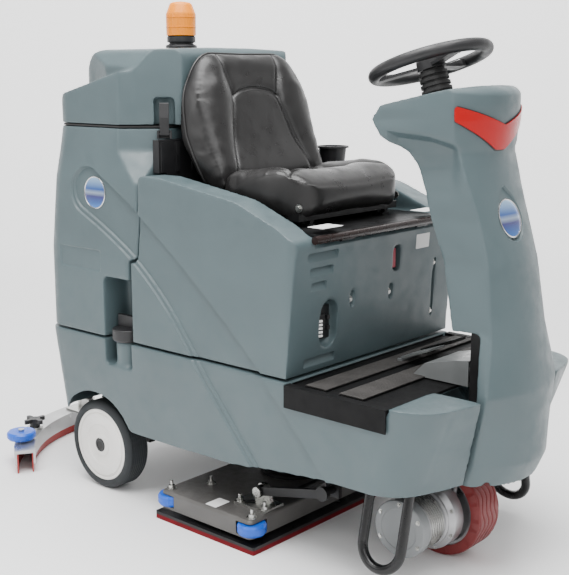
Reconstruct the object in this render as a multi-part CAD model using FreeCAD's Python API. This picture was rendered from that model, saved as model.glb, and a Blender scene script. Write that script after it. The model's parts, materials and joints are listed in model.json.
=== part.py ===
"""Ride-on floor scrubber, modelled as separate pieces, one STEP file per piece.

Lengths are millimetres. +X is forwards, +Y is the machine's left, +Z is up, the floor is z = 0.
Every piece is drawn with x = 0 at the rear axle; save() then moves the origin under the middle of the machine.
"""
import FreeCAD
import Part
import math
import os

V = FreeCAD.Vector

# Driving dimensions
WALL = 6.0                      # wall of the moulded shells
FIT = 0.06                      # radial clearance of a running fit
REAR_WHEEL_RADIUS = 127.0
REAR_WHEEL_WIDTH = 76.0
REAR_WHEEL_FACE = 316.0         # outer face of a rear wheel
AXLE_RADIUS = 12.0
DRIVE_X = 957.0                 # steering axis of the drive wheel
DRIVE_RADIUS = 118.0
DRIVE_HALF_WIDTH = 45.0
GUARD_LOOP = (962.0, 246.0, 53.0)    # x, y and half width of a hoop under the footwell
GUARD_TUBE_RADIUS = 12.0
SKIRT_Z = 200.0                 # lowest level of the body's plan outline
DECK_SEAM_Z = 456.0             # top of the lower body
FOOT_Z = 440.0                  # floor of the footwell
FOOT_REAR = 722.0
FOOT_FRONT = 1014.0
SEAM_GAP = 3.0                  # gap between neighbouring shells
BODY_HALF = 345.0
TANK_RIM_Z = 1020.0
LID_Z = 1025.0
LID_TOP_Z = 1222.0
SEAT_FLOOR_Z = 786.0            # top of the seat box between its arms
ARM_INNER_Y = 258.0
PAD_HALF_LENGTH = 178.0         # half of the pad's 14 inch side
PAD_HALF_WIDTH = 355.5          # half of the pad's 28 inch side
DECK_X = 449.0
DECK_BOTTOM_Z = 32.0
DECK_TOP_Z = 80.0
DECK_HALF_LENGTH = 163.0
DECK_HALF_WIDTH = 346.0
ORBIT = 3.0                     # eccentric throw of the pad
DECK_ROLLER_RADIUS = 37.0
DECK_ROLLER_PLACES = [(DECK_X + sx * 145.0, sy * 322.0) for sx in (-1, 1) for sy in (-1, 1)]
DECK_PIVOT = (760.0, 165.0)     # lift arm pivot on the chassis, x and z
DECK_PIN = (555.0, 118.0)       # lift arm pin on the deck, x and z
SQUEEGEE_CENTRE_X = -18.0       # centre of the squeegee's arc
SQUEEGEE_INNER = 428.0
SQUEEGEE_OUTER = 488.0
SQUEEGEE_HALF_ANGLE = 59.0
SQUEEGEE_TOP_Z = 70.0
SQUEEGEE_PIVOT = (-100.0, 150.0)
SQUEEGEE_PIN = (-400.0, 100.0)
SUCTION_RADIUS = 22.0           # suction tube between the squeegee and the tank
SUCTION_TOP_X = -232.0
SUCTION_FOOT_X = -462.0
SQUEEGEE_ROLLER = (470.0, 47.0)  # radius and angle on the squeegee's arc
SQUEEGEE_KNOB = (458.0, 33.0)
WHEEL_CENTRE = V(871.0, 0, 1182.0)   # steering wheel
WHEEL_TILT = 17.9
RIM_RADIUS = 134.0
RIM_TUBE = 14.5
UPPER_JOINT_DROP = 185.0        # from the steering wheel to the upper universal joint
BOOT_BOTTOM = -96.0             # rubber boot, measured from the steering wheel along its axis
BOOT_TOP = -17.5
LOWER_JOINT = V(1075.0, 0, 600.0)
PANEL_ORIGIN = V(892.0, 0, 1097.5)   # console top, on the steering column
PANEL_TILT = 13.2
STOP_PLACE = (92.0, -92.0)      # emergency stop on the panel
STOP_STEM = 8.0
KEY_PLACE = (45.0, -92.0)
SPROCKET_LARGE = 72.0
SPROCKET_SMALL = 24.0
SPROCKET_Z = 276.0
HEAD_PLATE_Z = 262.0            # underside of the steering head plate
HEAD_PLATE = 8.0
SEAT_HINGE = (752.0, 776.0)     # seat plate hinge, x and z
PEDAL_HEEL = (802.0, FOOT_Z + 15)    # axis of the pedals, x and z
ACCELERATOR_Y = (4.0, 74.0)
BRAKE_Y = (92.0, 158.0)
LID_HINGE = (-160.0, 1021.0)
LID_SIDE_END = (127.0, 320.0)   # where the lid's straight side ends, x and y
LID_FRONT_END = (247.0, 202.0)  # where its angled face meets its front
BEACON_X = 30.0
CUP_CENTRE = (339.0, 300.0)
FILL_CENTRE = (126.0, -304.0)
NOSE_FRONT = 1190.0
COLUMN_BULGE = 14.0             # rise of the column's rounded back
# Middle of the machine, measured from the rear axle
ORIGIN_X = (NOSE_FRONT + SQUEEGEE_CENTRE_X - SQUEEGEE_OUTER) / 2

# Column stations: height, front, crease x, crease y, rear x, rear y
NOSE_STATIONS = [
    (238, 1168, 1092, 146, 1078, 144),
    (290, NOSE_FRONT, 1113, 152, 1096, 150),
    (456, 1186, 1146, 160, 1118, 156),
    (590, 1160, 1131, 122, 1104, 128),
]
COLUMN_STATIONS = [
    (590, 1160, 1131, 122, 1036, 135),
    (740, 1133, 1110, 112, 1004, 126),
    (838, 1101, 1083, 108, 968, 128),
    (900, 1079, 1061, 114, 950, 132),
    (955, 1064, 1043, 121, 926, 138),
    (985, 1060, 1033, 126, 908, 152),
    (1022, 1067, 1030, 134, 862, 186),
    (1058, 1074, 1030, 138, 842, 189),
    (1092, 1080, 1028, 140, 862, 184),
    (1170, 1080, 1020, 140, 876, 180),
]
# Tank stations: height, rear, half width, end of the side, front, half width of the front
TANK_STATIONS = [
    (459, -189, 344, 170, 174, 340),
    (681, -190, 341, 170, 174, 337),
    (683, -190, 341, 194, 198, 337),
    (800, -178, 338, 206, 210, 334),
    (880, -169, 336, 200, 212, 324),
    (960, -159, 325, 128, 213, 240),
    (1020, -152, 320, 125, 213, 232),
]


# ---------------------------------------------------------------- drawing helpers
def mix(low, high, share):
    return low + (high - low) * share


def on_xy(a, b):
    return V(a, b, 0)


def on_xz(a, b):
    return V(a, 0, b)


def on_yz(a, b):
    return V(0, a, b)


def outline(corners, place=on_xy):
    """Closed wire through corners (a, b) or (a, b, radius of the rounded corner)."""
    joins = []
    for i, corner in enumerate(corners):
        here = V(corner[0], corner[1], 0)
        back = V(corners[i - 1][0], corners[i - 1][1], 0) - here
        ahead_corner = corners[(i + 1) % len(corners)]
        ahead = V(ahead_corner[0], ahead_corner[1], 0) - here
        radius = corner[2] if len(corner) > 2 else 0
        if radius == 0:
            joins.append((here, None, here))
            continue
        half = back.getAngle(ahead) / 2
        back.normalize()
        ahead.normalize()
        reach = radius / math.tan(half)
        inward = (back + ahead).normalize()
        nearest = here + inward * (radius / math.sin(half) - radius)
        joins.append((here + back * reach, nearest, here + ahead * reach))
    edges = []
    for i, (start, middle, end) in enumerate(joins):
        if middle is not None:
            points = [place(p.x, p.y) for p in (start, middle, end)]
            edges.append(Part.Arc(*points).toShape())
        following = joins[(i + 1) % len(joins)][0]
        if end.distanceToPoint(following) > 1e-6:
            edges.append(Part.makeLine(place(end.x, end.y), place(following.x, following.y)))
    return Part.Wire(edges)


def prism_xy(corners, low, high):
    """Vertical prism between two heights."""
    solid = Part.Face(outline(corners)).extrude(V(0, 0, high - low))
    return solid.translated(V(0, 0, low))


def prism_xz(corners, low, high):
    """Prism across the machine, between two y values."""
    solid = Part.Face(outline(corners, on_xz)).extrude(V(0, high - low, 0))
    return solid.translated(V(0, low, 0))


def prism_yz(corners, low, high):
    """Prism along the machine, between two x values."""
    solid = Part.Face(outline(corners, on_yz)).extrude(V(high - low, 0, 0))
    return solid.translated(V(low, 0, 0))


def box(x, y, z):
    """Box between pairs of limits."""
    return Part.makeBox(x[1] - x[0], y[1] - y[0], z[1] - z[0], V(x[0], y[0], z[0]))


def rounded_box(x, y, z, radius):
    """Box with rounded vertical edges."""
    corners = [(x[0], y[0], radius), (x[1], y[0], radius), (x[1], y[1], radius), (x[0], y[1], radius)]
    return prism_xy(corners, z[0], z[1])


def rod(start, end, radius):
    """Round bar between two points."""
    along = V(*end) - V(*start)
    return Part.makeCylinder(radius, along.Length, V(*start), along)


def disc(x, y, low, high, radius):
    """Upright cylinder."""
    return Part.makeCylinder(radius, high - low, V(x, y, low))


def turned(corners, origin, direction=V(0, 0, 1)):
    """Solid of revolution; corners are (radius, distance along the axis, corner radius)."""
    solid = Part.Face(outline(corners, on_xz)).revolve(V(0, 0, 0), V(0, 0, 1), 360)
    solid.Placement = FreeCAD.Placement(V(*origin), FreeCAD.Rotation(V(0, 0, 1), direction))
    return solid


def pipe(edges, radius):
    """Round tube, solid right through, along joined edges."""
    start = edges[0].valueAt(edges[0].FirstParameter)
    tangent = edges[0].tangentAt(edges[0].FirstParameter)
    section = Part.Wire([Part.makeCircle(radius, start, tangent)])
    return Part.Wire(edges).makePipeShell([section], True, True)


def bent_path(points, radii):
    """Straight runs joined by tangent arcs, one radius for each inner point."""
    edges = []
    start = V(*points[0])
    for i, radius in enumerate(radii, 1):
        here = V(*points[i])
        back = (V(*points[i - 1]) - here).normalize()
        ahead = (V(*points[i + 1]) - here).normalize()
        half = back.getAngle(ahead) / 2
        reach = radius / math.tan(half)
        middle = here + (back + ahead).normalize() * (radius / math.sin(half) - radius)
        end = here + ahead * reach
        edges.append(Part.makeLine(start, here + back * reach))
        edges.append(Part.Arc(here + back * reach, middle, end).toShape())
        start = end
    edges.append(Part.makeLine(start, V(*points[-1])))
    return edges


def mirrored(shape):
    return shape.mirror(V(0, 0, 0), V(0, 1, 0))


def both(shape):
    """The shape and its mirror image on the other side, as separate solids."""
    return Part.makeCompound([shape, mirrored(shape)])


def fused(*shapes):
    return shapes[0].multiFuse(list(shapes[1:])).removeSplitter()


def group(shapes):
    return Part.makeCompound(list(shapes))


def loft(wires):
    """Solid through the wires, with straight lines between them."""
    return Part.makeLoft(wires, True, True)


def placed(shape, origin, axis, angle):
    """Turns a shape about an axis through its origin, in degrees, then moves it."""
    shape = shape.copy()
    shape.Placement = FreeCAD.Placement(origin, FreeCAD.Rotation(axis, angle)).multiply(shape.Placement)
    return shape


# ---------------------------------------------------------------- lower body and chassis
def lower_plan(level, inset=0.0):
    """Plan outline of the lower body: it widens and grows forwards as it rises."""
    share = (level - SKIRT_Z) / (DECK_SEAM_Z - SKIRT_Z)
    rear = mix(-157, -188, share) + inset
    half = mix(332, BODY_HALF, share) - inset
    corner = mix(1010, 1110, share) - inset
    nose = mix(1085, 1146, share) - inset
    nose_half = mix(150, 172, share)
    rear_round = 60 - inset
    front_round = 110 - inset
    corners = [(rear, -half, rear_round), (corner, -half, front_round), (nose, -nose_half),
               (nose, nose_half), (corner, half, front_round), (rear, half, rear_round)]
    return outline(corners).translated(V(0, 0, level))


def fill_pocket(grow=0.0):
    """Space of the filling recess in the right side of both shells."""
    return box((74 - grow, 178 + grow), (-400, -256 + grow), (384 - grow, 623 + grow))


def lower_body():
    outer = loft([lower_plan(SKIRT_Z), lower_plan(DECK_SEAM_Z)])
    inner = loft([lower_plan(SKIRT_Z - 10, WALL), lower_plan(DECK_SEAM_Z - WALL, WALL)])
    outer = outer.cut(box((FOOT_REAR, FOOT_FRONT), (-400, 400), (FOOT_Z, 500)))
    inner = inner.cut(box((FOOT_REAR - WALL, FOOT_FRONT + WALL), (-400, 400), (FOOT_Z - WALL, 500)))
    outer = outer.cut(fill_pocket())
    inner = inner.cut(fill_pocket(WALL))
    shell = outer.cut(inner)
    arch = rod((8, -400, REAR_WHEEL_RADIUS), (8, -215, REAR_WHEEL_RADIUS), 160)
    nose_notch = prism_yz([(-151, 190), (151, 190), (173, DECK_SEAM_Z + 5), (-173, DECK_SEAM_Z + 5)],
                          FOOT_FRONT, 1250)
    below = prism_xz([(-260, 150), (-260, 213), (-158, 212), (181, 201), (505, 204), (850, 238),
                      (1250, 246), (1250, 150)], -400, 400)
    shell = shell.cut(arch).cut(mirrored(arch)).cut(nose_notch).cut(below)
    return fused(shell, fill_neck())


def chassis_frame():
    rail = box((-120, 900), (130, 170), (205, 258))
    hanger = box((-36, 36), (140, 160), (100, 205))
    crossbars = [box((x, x + 24), (-130, 130), (205, 250)) for x in (-120, 250, 700)]
    arm_bar = box((745, 775), (170, 212), (225, 255))
    arm_hanger = box((740, 780), (200, 212), (146, 255))
    squeegee_ear = box((-116, -84), (36, 44), (132, 205))
    head_plate = box((885, 1035), (-268, 268), (HEAD_PLATE_Z, HEAD_PLATE_Z + HEAD_PLATE))
    tongue = box((1035, 1104), (-90, 90), (HEAD_PLATE_Z, HEAD_PLATE_Z + HEAD_PLATE))
    risers = box((885, 900), (130, 170), (258, HEAD_PLATE_Z))
    sides = [rail, hanger, arm_bar, arm_hanger, squeegee_ear, risers]
    frame = fused(head_plate, tongue, *crossbars, *sides, *[mirrored(s) for s in sides])
    holes = [
        rod((0, -400, REAR_WHEEL_RADIUS), (0, 400, REAR_WHEEL_RADIUS), AXLE_RADIUS + FIT),
        rod((DECK_PIVOT[0], -300, DECK_PIVOT[1]), (DECK_PIVOT[0], 300, DECK_PIVOT[1]), 10 + FIT),
        rod((SQUEEGEE_PIVOT[0], -90, SQUEEGEE_PIVOT[1]), (SQUEEGEE_PIVOT[0], 90, SQUEEGEE_PIVOT[1]), 8 + FIT),
        disc(DRIVE_X, 0, 200, 320, 25 + FIT),
        disc(LOWER_JOINT.x, 0, 200, 320, 10 + FIT),
    ]
    for hole in holes:
        frame = frame.cut(hole)
    return group([frame, column_frame(), rear_axle()])


def column_frame():
    """Upright plates inside the column, bolted to the head plate."""
    plate = prism_xz([(1050, 270), (1092, 270), (1092, 600), (1000, 980), (962, 980), (1052, 600)], 68, 76)
    low_bearing = box((1050, 1092), (-68, 68), (560, 568))
    top_tie = box((968, 992), (-68, 68), (960, 966))
    frame = fused(plate, mirrored(plate), low_bearing, top_tie)
    return frame.cut(disc(LOWER_JOINT.x, 0, 500, 590, 10 + FIT))


def guard_loop(side):
    """Hoop of bent tube under the footwell; side is -1 on the right and 1 on the left."""
    x, y, half = GUARD_LOOP
    lean = V(0, side * 45, -195).normalize()
    top = V(x, side * y, HEAD_PLATE_Z)
    centre = top + lean * 163
    across = V(half, 0, 0)
    edges = [
        Part.makeLine(top - across, centre - across),
        Part.Arc(centre - across, centre + lean * half, centre + across).toShape(),
        Part.makeLine(centre + across, top + across),
    ]
    hoop = pipe(edges, GUARD_TUBE_RADIUS)
    above = box((800, 1100), (-400, 400), (HEAD_PLATE_Z, HEAD_PLATE_Z + 40))
    return hoop.cut(above)


def guard_loops():
    return group([guard_loop(-1), guard_loop(1)])


def step_mat():
    """Rubber mat of the footwell with two raised tread strips, and the black plates on both step edges."""
    mat = rounded_box((FOOT_REAR + 3, FOOT_FRONT - 3), (-327, 327), (FOOT_Z, FOOT_Z + 6), 10)
    strips = [box(x, (-318, 318), (FOOT_Z + 5, FOOT_Z + 9.5)) for x in ((762, 822), (861, 928))]
    edge = prism_yz([(-349.5, 398), (-346, 398), (-346, FOOT_Z + 0.2), (-327.5, FOOT_Z + 0.2), (-327.5, 452),
                     (-349.5, 452)], FOOT_REAR + 1, FOOT_FRONT - 1)
    return group([fused(mat, *strips), edge, mirrored(edge)])


# ---------------------------------------------------------------- recovery tank, lid and beacon
def tank_plan(level, rear, half, side_end, front, front_half, inset=0.0):
    corners = [(rear + inset, -(half - inset), 70 - inset), (side_end - inset * 0.4, -(half - inset)),
               (front - inset, -(front_half - inset * 0.4)), (front - inset, front_half - inset * 0.4),
               (side_end - inset * 0.4, half - inset), (rear + inset, half - inset, 70 - inset)]
    return outline(corners).translated(V(0, 0, level))


def tank_outer():
    return loft([tank_plan(*station) for station in TANK_STATIONS])


def recovery_tank():
    """Open-topped tank: its floor and side steps are one wall thick."""
    rises = (WALL, WALL, WALL, 0, 0, 0, 5)
    inner = loft([tank_plan(level + rise, *rest, WALL) for (level, *rest), rise in zip(TANK_STATIONS, rises)])
    outer = tank_outer().cut(fill_pocket())
    return outer.cut(inner.cut(fill_pocket(WALL)))


def lid_gasket():
    rim = TANK_STATIONS[-1]
    outer = Part.Face(tank_plan(*rim, 3.0)).extrude(V(0, 0, 4.5))
    inner = Part.Face(tank_plan(*rim, 15.0)).extrude(V(0, 0, 4.5))
    return outer.cut(inner)


def lid_base(inset=0.0):
    """The lid's lower part: upright walls under a top that rises forwards."""
    rear = -153 + inset
    half = LID_SIDE_END[1] - inset
    side_end = LID_SIDE_END[0] - inset * 0.4
    front = LID_FRONT_END[0] - inset
    front_half = LID_FRONT_END[1] - inset * 0.4
    plan = [(rear, -half, 70), (side_end, -half), (front, -front_half), (front, front_half), (side_end, half),
            (rear, half, 70)]
    walls = prism_xy(plan, LID_Z - inset, 1260)
    profile = [(rear - 20, LID_Z - inset), (rear, LID_Z - inset), (rear + 34, 1103 - inset, 26),
               (260, 1196 - inset), (300, LID_Z - inset)]
    return walls.common(prism_xz(profile, -400, 400))


def lid_hump(inset=0.0):
    """Raised middle of the lid, with a curved back."""
    front = LID_FRONT_END[0] - inset
    base = LID_Z - inset
    top = LID_TOP_Z - inset
    right = [(-122 + inset, -(238 - inset), 90 - inset), (40, -(284 - inset), 60),
             (160 - inset * 0.4, -(288 - inset)), (front, -(LID_FRONT_END[1] - inset * 0.4))]
    left = [(x, -y, *rounding) for x, y, *rounding in reversed(right)]
    body = prism_xy(right + left, base, 1260)
    profile = [(-130 + inset, base), (-130 + inset, 1120, 20), (-40, top, 110), (front, top + 4, 30 - inset),
               (front, base)]
    shoulder = (292 - inset, 1166 - inset)
    edge = (256 - inset, top - 2)
    crown = prism_yz([(-300, base), (-shoulder[0], shoulder[1], 12), (-edge[0], edge[1], 26), (0, top + 6, 900),
                      (*edge, 26), (*shoulder, 12), (300, base)], -200, 300)
    return body.common(prism_xz(profile, -400, 400)).common(crown)


def latch_place(shape):
    """Moves a shape drawn about the origin, facing -Y, onto the lid's right angled face."""
    run = (LID_FRONT_END[0] - LID_SIDE_END[0], LID_SIDE_END[1] - LID_FRONT_END[1])
    return placed(shape, V(212, -236.5, 0), V(0, 0, 1), math.degrees(math.atan2(run[1], run[0])))


def latch_pocket(grow=0.0):
    return latch_place(box((-25 - grow, 25 + grow), (-40, 20 + grow), (LID_Z - 20, 1096 + grow)))


def tank_lid():
    outer = lid_base().fuse(lid_hump()).removeSplitter()
    inner = lid_base(WALL).fuse(lid_hump(WALL))
    lid = outer.cut(latch_pocket()).cut(inner.cut(latch_pocket(WALL)))
    lid = lid.cut(box((-300, 400), (-400, 400), (LID_Z - 60, LID_Z)))
    return fused(lid, lid_hinge_pins())


def lid_hinge_knuckles():
    """Fixed barrels of the lid hinge, on the tank's back."""
    x, z = LID_HINGE
    barrel = rod((x, 180, z), (x, 220, z), 7)
    leaf = box((x - 7, x - 3), (180, 220), (985, z))
    foot = box((x - 7, -156.5), (180, 220), (985, 991))
    return both(fused(barrel, leaf, foot).cut(rod((x, 170, z), (x, 230, z), 4 + FIT)))


def lid_hinge_pins():
    """Hinge pins with the straps that carry the lid."""
    x, z = LID_HINGE
    pin = rod((x, 174, z), (x, 226, z), 4)
    straps = [box((x - 6, x + 6), y, (z - 5, z + 34)) for y in ((173, 177), (223, 227))]
    bridge = box((x - 6, x + 20), (173, 227), (z + 16, z + 34))
    return both(fused(pin, bridge, *straps))


def latch_bracket():
    ears = [box(x, (-17, -0.5), (993, 1013)) for x in ((-19, -14), (14, 19))]
    back = box((-19, 19), (-3.5, -0.5), (993, 1013))
    bracket = fused(back, *ears)
    return latch_place(bracket.cut(rod((-30, -10, 1003), (30, -10, 1003), 3 + FIT)))


def lid_latch():
    lever = prism_yz([(-14, 999, 3), (-6.5, 999, 3), (-6.5, 1040), (1, 1052), (1, 1084, 3), (-6, 1084, 3),
                      (-14, 1046)], -12, 12)
    pin = rod((-18, -10, 1003), (18, -10, 1003), 3)
    return latch_place(fused(lever, pin))


def rear_cover():
    """Black ribbed cover on the tank's front, behind the seat."""
    plate = prism_yz([(-254, 800), (254, 800), (254, 906), (280, 906), (280, 990), (-280, 990),
                      (-280, 906), (-254, 906)], 213.5, 236)
    ribs = [box((236, 241), (y, y + 10), (908, 984)) for y in range(-275, 270, 54)]
    return group([fused(plate, *ribs), latch_bracket()])


def beacon_base():
    top = 1262.0
    return turned([(0, LID_TOP_Z + 6), (44, LID_TOP_Z + 6), (44, LID_TOP_Z + 12, 3), (36, LID_TOP_Z + 16),
                   (36, 1240), (42, 1242, 2), (42, top - 6), (38, top - 6), (38, top), (0, top)],
                  (BEACON_X, 0, 0))


def beacon_dome():
    return turned([(0, 1262.2), (41.5, 1262.2), (41, 1318, 24), (28, 1348, 16), (0, 1356)], (BEACON_X, 0, 0))


def beacon():
    return group([beacon_base(), beacon_dome()])


def vacuum_motor():
    flange = disc(40, 130, 465.1, 480, 84)
    return fused(flange, disc(40, 130, 480, 620, 72), disc(40, 130, 620, 680, 50))


# ---------------------------------------------------------------- seat box and what it carries
def seat_box_side(inset=0.0):
    """Side outline of the seat box and its arms."""
    base = DECK_SEAM_Z + SEAM_GAP - inset
    return [(181 + inset, base), (720 - inset, base), (739 - inset, 740), (745 - inset, 780 - inset, 26),
            (690, 812 - inset, 90), (560, 863 - inset, 160), (300, 903 - inset, 80),
            (218 + inset, 903 - inset, 14), (214 + inset, 800), (202 + inset, 678 - inset),
            (181 + inset, 676 - inset)]


def front_slot(y, z, depth):
    """Space of a slot in the sloping front of the seat box, between y and z limits."""
    middle = (z[0] + z[1]) / 2
    face = mix(720, 739, (middle - 459) / (740 - 459))
    return box((face - depth, face + 12), y, z)


def oval_pocket(grow=0.0):
    half = 32 + grow
    low, high = 514 - grow, 628 + grow
    corners = [(-190 - half, low, half - 0.1), (-190 + half, low, half - 0.1),
               (-190 + half, high, half - 0.1), (-190 - half, high, half - 0.1)]
    return prism_yz(corners, 700 - grow, 780)


def connector_pocket(grow=0.0):
    return box((708 - grow, 780), (60 - grow, 86 + grow), (666 - grow, 728 + grow))


def seat_box():
    rounding = 30
    plan = [(170, -342), (746, -338, rounding), (746, 338, rounding), (170, 342)]
    outer = prism_xz(seat_box_side(), -342, 342).common(prism_xy(plan, 400, 1000))
    inner_plan = [(160, -336), (740, -332, rounding - WALL), (740, 332, rounding - WALL), (160, 336)]
    inner = prism_xz(seat_box_side(WALL), -336, 336).common(prism_xy(inner_plan, 400, 1000))
    well = box((150, 800), (-ARM_INNER_Y, ARM_INNER_Y), (SEAT_FLOOR_Z, 1000))
    grown_well = box((150, 800), (-ARM_INNER_Y - WALL, ARM_INNER_Y + WALL), (SEAT_FLOOR_Z - WALL, 1000))
    cup_pocket = disc(CUP_CENTRE[0], CUP_CENTRE[1], 868, 1000, 36.0)
    outer = outer.cut(well).cut(oval_pocket()).cut(connector_pocket()).cut(cup_pocket)
    inner = inner.cut(grown_well).cut(oval_pocket(WALL)).cut(connector_pocket(WALL))
    inner = inner.cut(disc(CUP_CENTRE[0], CUP_CENTRE[1], 862, 1000, 42.0))
    shell = outer.cut(inner).cut(box((260, 660), (-215, 215), (SEAT_FLOOR_Z - WALL - 1, SEAT_FLOOR_Z + 1)))
    slots = [
        front_slot((-229, -169), (747, 754), 3),
        front_slot((-218, -178), (711, 718), 3),
        front_slot((-214, -190), (675, 682), 3),
        front_slot((-298, -183), (490, 498), 3),
        front_slot((245, 256), (518, 673), 3),
        front_slot((-112, -94), (602, 640), 3),
        front_slot((48, 66), (598, 636), 3),
    ]
    for slot in slots:
        shell = shell.cut(slot)
    return group([shell, *seat_hinge_pins()])


def panel_sockets():
    """Charger socket in the oval recess and the two halves of the battery connector."""
    back = box((700, 706), (-216, -164), (530, 612))
    socket = rounded_box((706, 713), (-212, -186), (548, 592), 3)
    pins = [box((706, 716), (-182, -172), (z, z + 10)) for z in (552, 578)]
    connector = [box((708, 722), (63, 83), z) for z in ((669, 696), (698, 725))]
    return group([fused(back, socket, *pins), *connector])


def seat_plate():
    """Plate on the seat box with the seat's rails and the barrels of its front hinge."""
    top = box((292, 748), (-250, 250), (SEAT_FLOOR_Z + 2, SEAT_FLOOR_Z + 7))
    lip = box((746, 749), (-250, 250), (SEAT_HINGE[1] + 4, SEAT_FLOOR_Z + 7))
    barrels = []
    for y in (-180, 130):
        leaf = box((746, SEAT_HINGE[0]), (y, y + 50), (SEAT_HINGE[1] - 2, SEAT_HINGE[1] + 5))
        barrels.append(leaf)
        barrels.append(rod((SEAT_HINGE[0], y, SEAT_HINGE[1]), (SEAT_HINGE[0], y + 50, SEAT_HINGE[1]), 5))
    rails = []
    for side in (-1, 1):
        base = SEAT_FLOOR_Z + 6
        foot = sorted((side * 138, side * 166))
        web = sorted((side * 147, side * 157))
        rails.append(box((340, 640), foot, (base, base + 6)))
        rails.append(box((340, 640), web, (base, base + 15)))
    plate = fused(top, lip, *rails, *barrels)
    return plate.cut(rod((SEAT_HINGE[0], -300, SEAT_HINGE[1]), (SEAT_HINGE[0], 300, SEAT_HINGE[1]), 2 + FIT))


def seat_hinge_pins():
    """Fixed pins of the seat plate's hinge, each between two tabs."""
    pins = []
    for y in (-184, 126):
        pin = rod((SEAT_HINGE[0], y, SEAT_HINGE[1]), (SEAT_HINGE[0], y + 58, SEAT_HINGE[1]), 2)
        tabs = [box((745.5, SEAT_HINGE[0] + 3), (y + k, y + k + 3), (SEAT_HINGE[1] - 14, SEAT_HINGE[1] + 3))
                for k in (0, 55)]
        pins.append(fused(pin, *tabs))
    return pins


def seat_pan():
    """Steel pan of the seat: slides on the rails, rises behind the backrest."""
    base = SEAT_FLOOR_Z + 22
    floor = box((335, 640), (-200, 200), (base, base + 18))
    side_rails = [box((350, 630), y, (base - 8, base)) for y in ((130, 145), (159, 174))]
    back = prism_xz([(335, base), (375, base), (375, base + 6), (327, 905), (275, 1000), (262, 1100),
                     (257, 1100), (268, 1000), (318, 902)], -150, 150)
    return fused(floor, back, *side_rails, *[mirrored(s) for s in side_rails])


def backrest_side():
    return [(352, 850), (395, 872, 12), (386, 915, 40), (345, 985, 120), (318, 1080, 160), (296, 1160, 90),
            (290, 1214, 24), (251, 1214, 16), (250, 1120, 80), (255, 1000, 120), (300, 905, 90)]


def pan_space():
    """Room that the pan's steel back takes, and half a millimetre around it."""
    return prism_xz([(335, 820), (376, 820), (376, 830), (329, 907), (277, 1001), (264, 1101), (200, 1101),
                     (200, 820)], -150.5, 150.5)


def seat_backrest():
    """Backrest between its side outline and its front outline."""
    front = prism_yz([(-196, 840, 30), (196, 840, 30), (224, 990, 120), (222, 1100, 160), (158, 1216, 90),
                      (-158, 1216, 90), (-222, 1100, 160), (-224, 990, 120)], 150, 450)
    return prism_xz(backrest_side(), -230, 230).common(front).cut(pan_space())


def seat_cushion():
    """Cushion between its side outline and its plan outline."""
    side = [(378, 826.5), (640, 826.5, 16), (672, 846, 20), (664, 900, 34), (590, 936, 90), (470, 912, 120),
            (396, 900), (394, 872), (378, 852)]
    plan = [(360, -205, 20), (520, -224, 120), (672, -196, 90), (672, 196, 90), (520, 224, 120), (360, 205, 20)]
    return prism_xz(side, -230, 230).common(prism_xy(plan, 800, 960))


def cup_holder():
    x, y = CUP_CENTRE
    return turned([(0, 868.5), (32, 868.5, 4), (40, 946), (47, 947), (47, 952), (38, 952), (29.5, 872.5, 3),
                   (0, 872.5)], (x, y, 0))


def fill_neck():
    x, y = FILL_CENTRE
    return turned([(0, 383), (34, 383), (34, 452, 3), (30, 452), (30, 388), (0, 388)], (x, y, 0))


def fill_cap():
    x, y = FILL_CENTRE
    body = turned([(0, 452.5), (40, 452.5), (44, 458, 3), (44, 486, 4), (0, 490)], (x, y, 0))
    grip = rounded_box((x - 38, x + 38), (y - 7, y + 7), (488, 520), 6)
    return fused(body, grip)


def batteries():
    """Four blocks, two by two, with two posts each."""
    length, width, top = 230, 182, 724
    cells = []
    for x in (222, 460):
        for y in (-190, 8):
            cells.append(rounded_box((x, x + length), (y, y + width), (DECK_SEAM_Z + 0.1, top), 8))
            for post in (34, length - 34):
                cells.append(disc(x + post, y + width / 2 + 50, top + 0.5, top + 18, 9))
    return group(cells)


def solution_pump():
    head = box((-118, -48), (-70, -10), (250.1, 308))
    motor = rod((-48, -40, 279), (42, -40, 279), 26)
    return fused(head, motor)


# ---------------------------------------------------------------- column, console and steering
def column_plan(level, front, crease_x, crease_y, rear_x, rear_y, inset=0.0):
    """Plan outline of the column: rounded front, flat sides and a slightly rounded back."""
    front -= inset
    middle = V(rear_x + inset - COLUMN_BULGE, 0, level)
    crease = V(crease_x - inset * 0.8, -(crease_y - inset * 0.8), level)
    rear = V(rear_x + inset, -(rear_y - inset), level)
    far_crease = V(crease.x, -crease.y, level)
    far_rear = V(rear.x, -rear.y, level)
    return Part.Wire([
        Part.Arc(crease, V(front, 0, level), far_crease).toShape(),
        Part.makeLine(far_crease, far_rear),
        Part.Arc(far_rear, middle, rear).toShape(),
        Part.makeLine(rear, crease),
    ])


def column_solid(inset=0.0):
    return loft([column_plan(*station, inset) for station in COLUMN_STATIONS])


def panel_place(shape):
    """Moves a shape drawn about the origin onto the console's tilted top."""
    return placed(shape, PANEL_ORIGIN, V(0, 1, 0), -PANEL_TILT)


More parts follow.
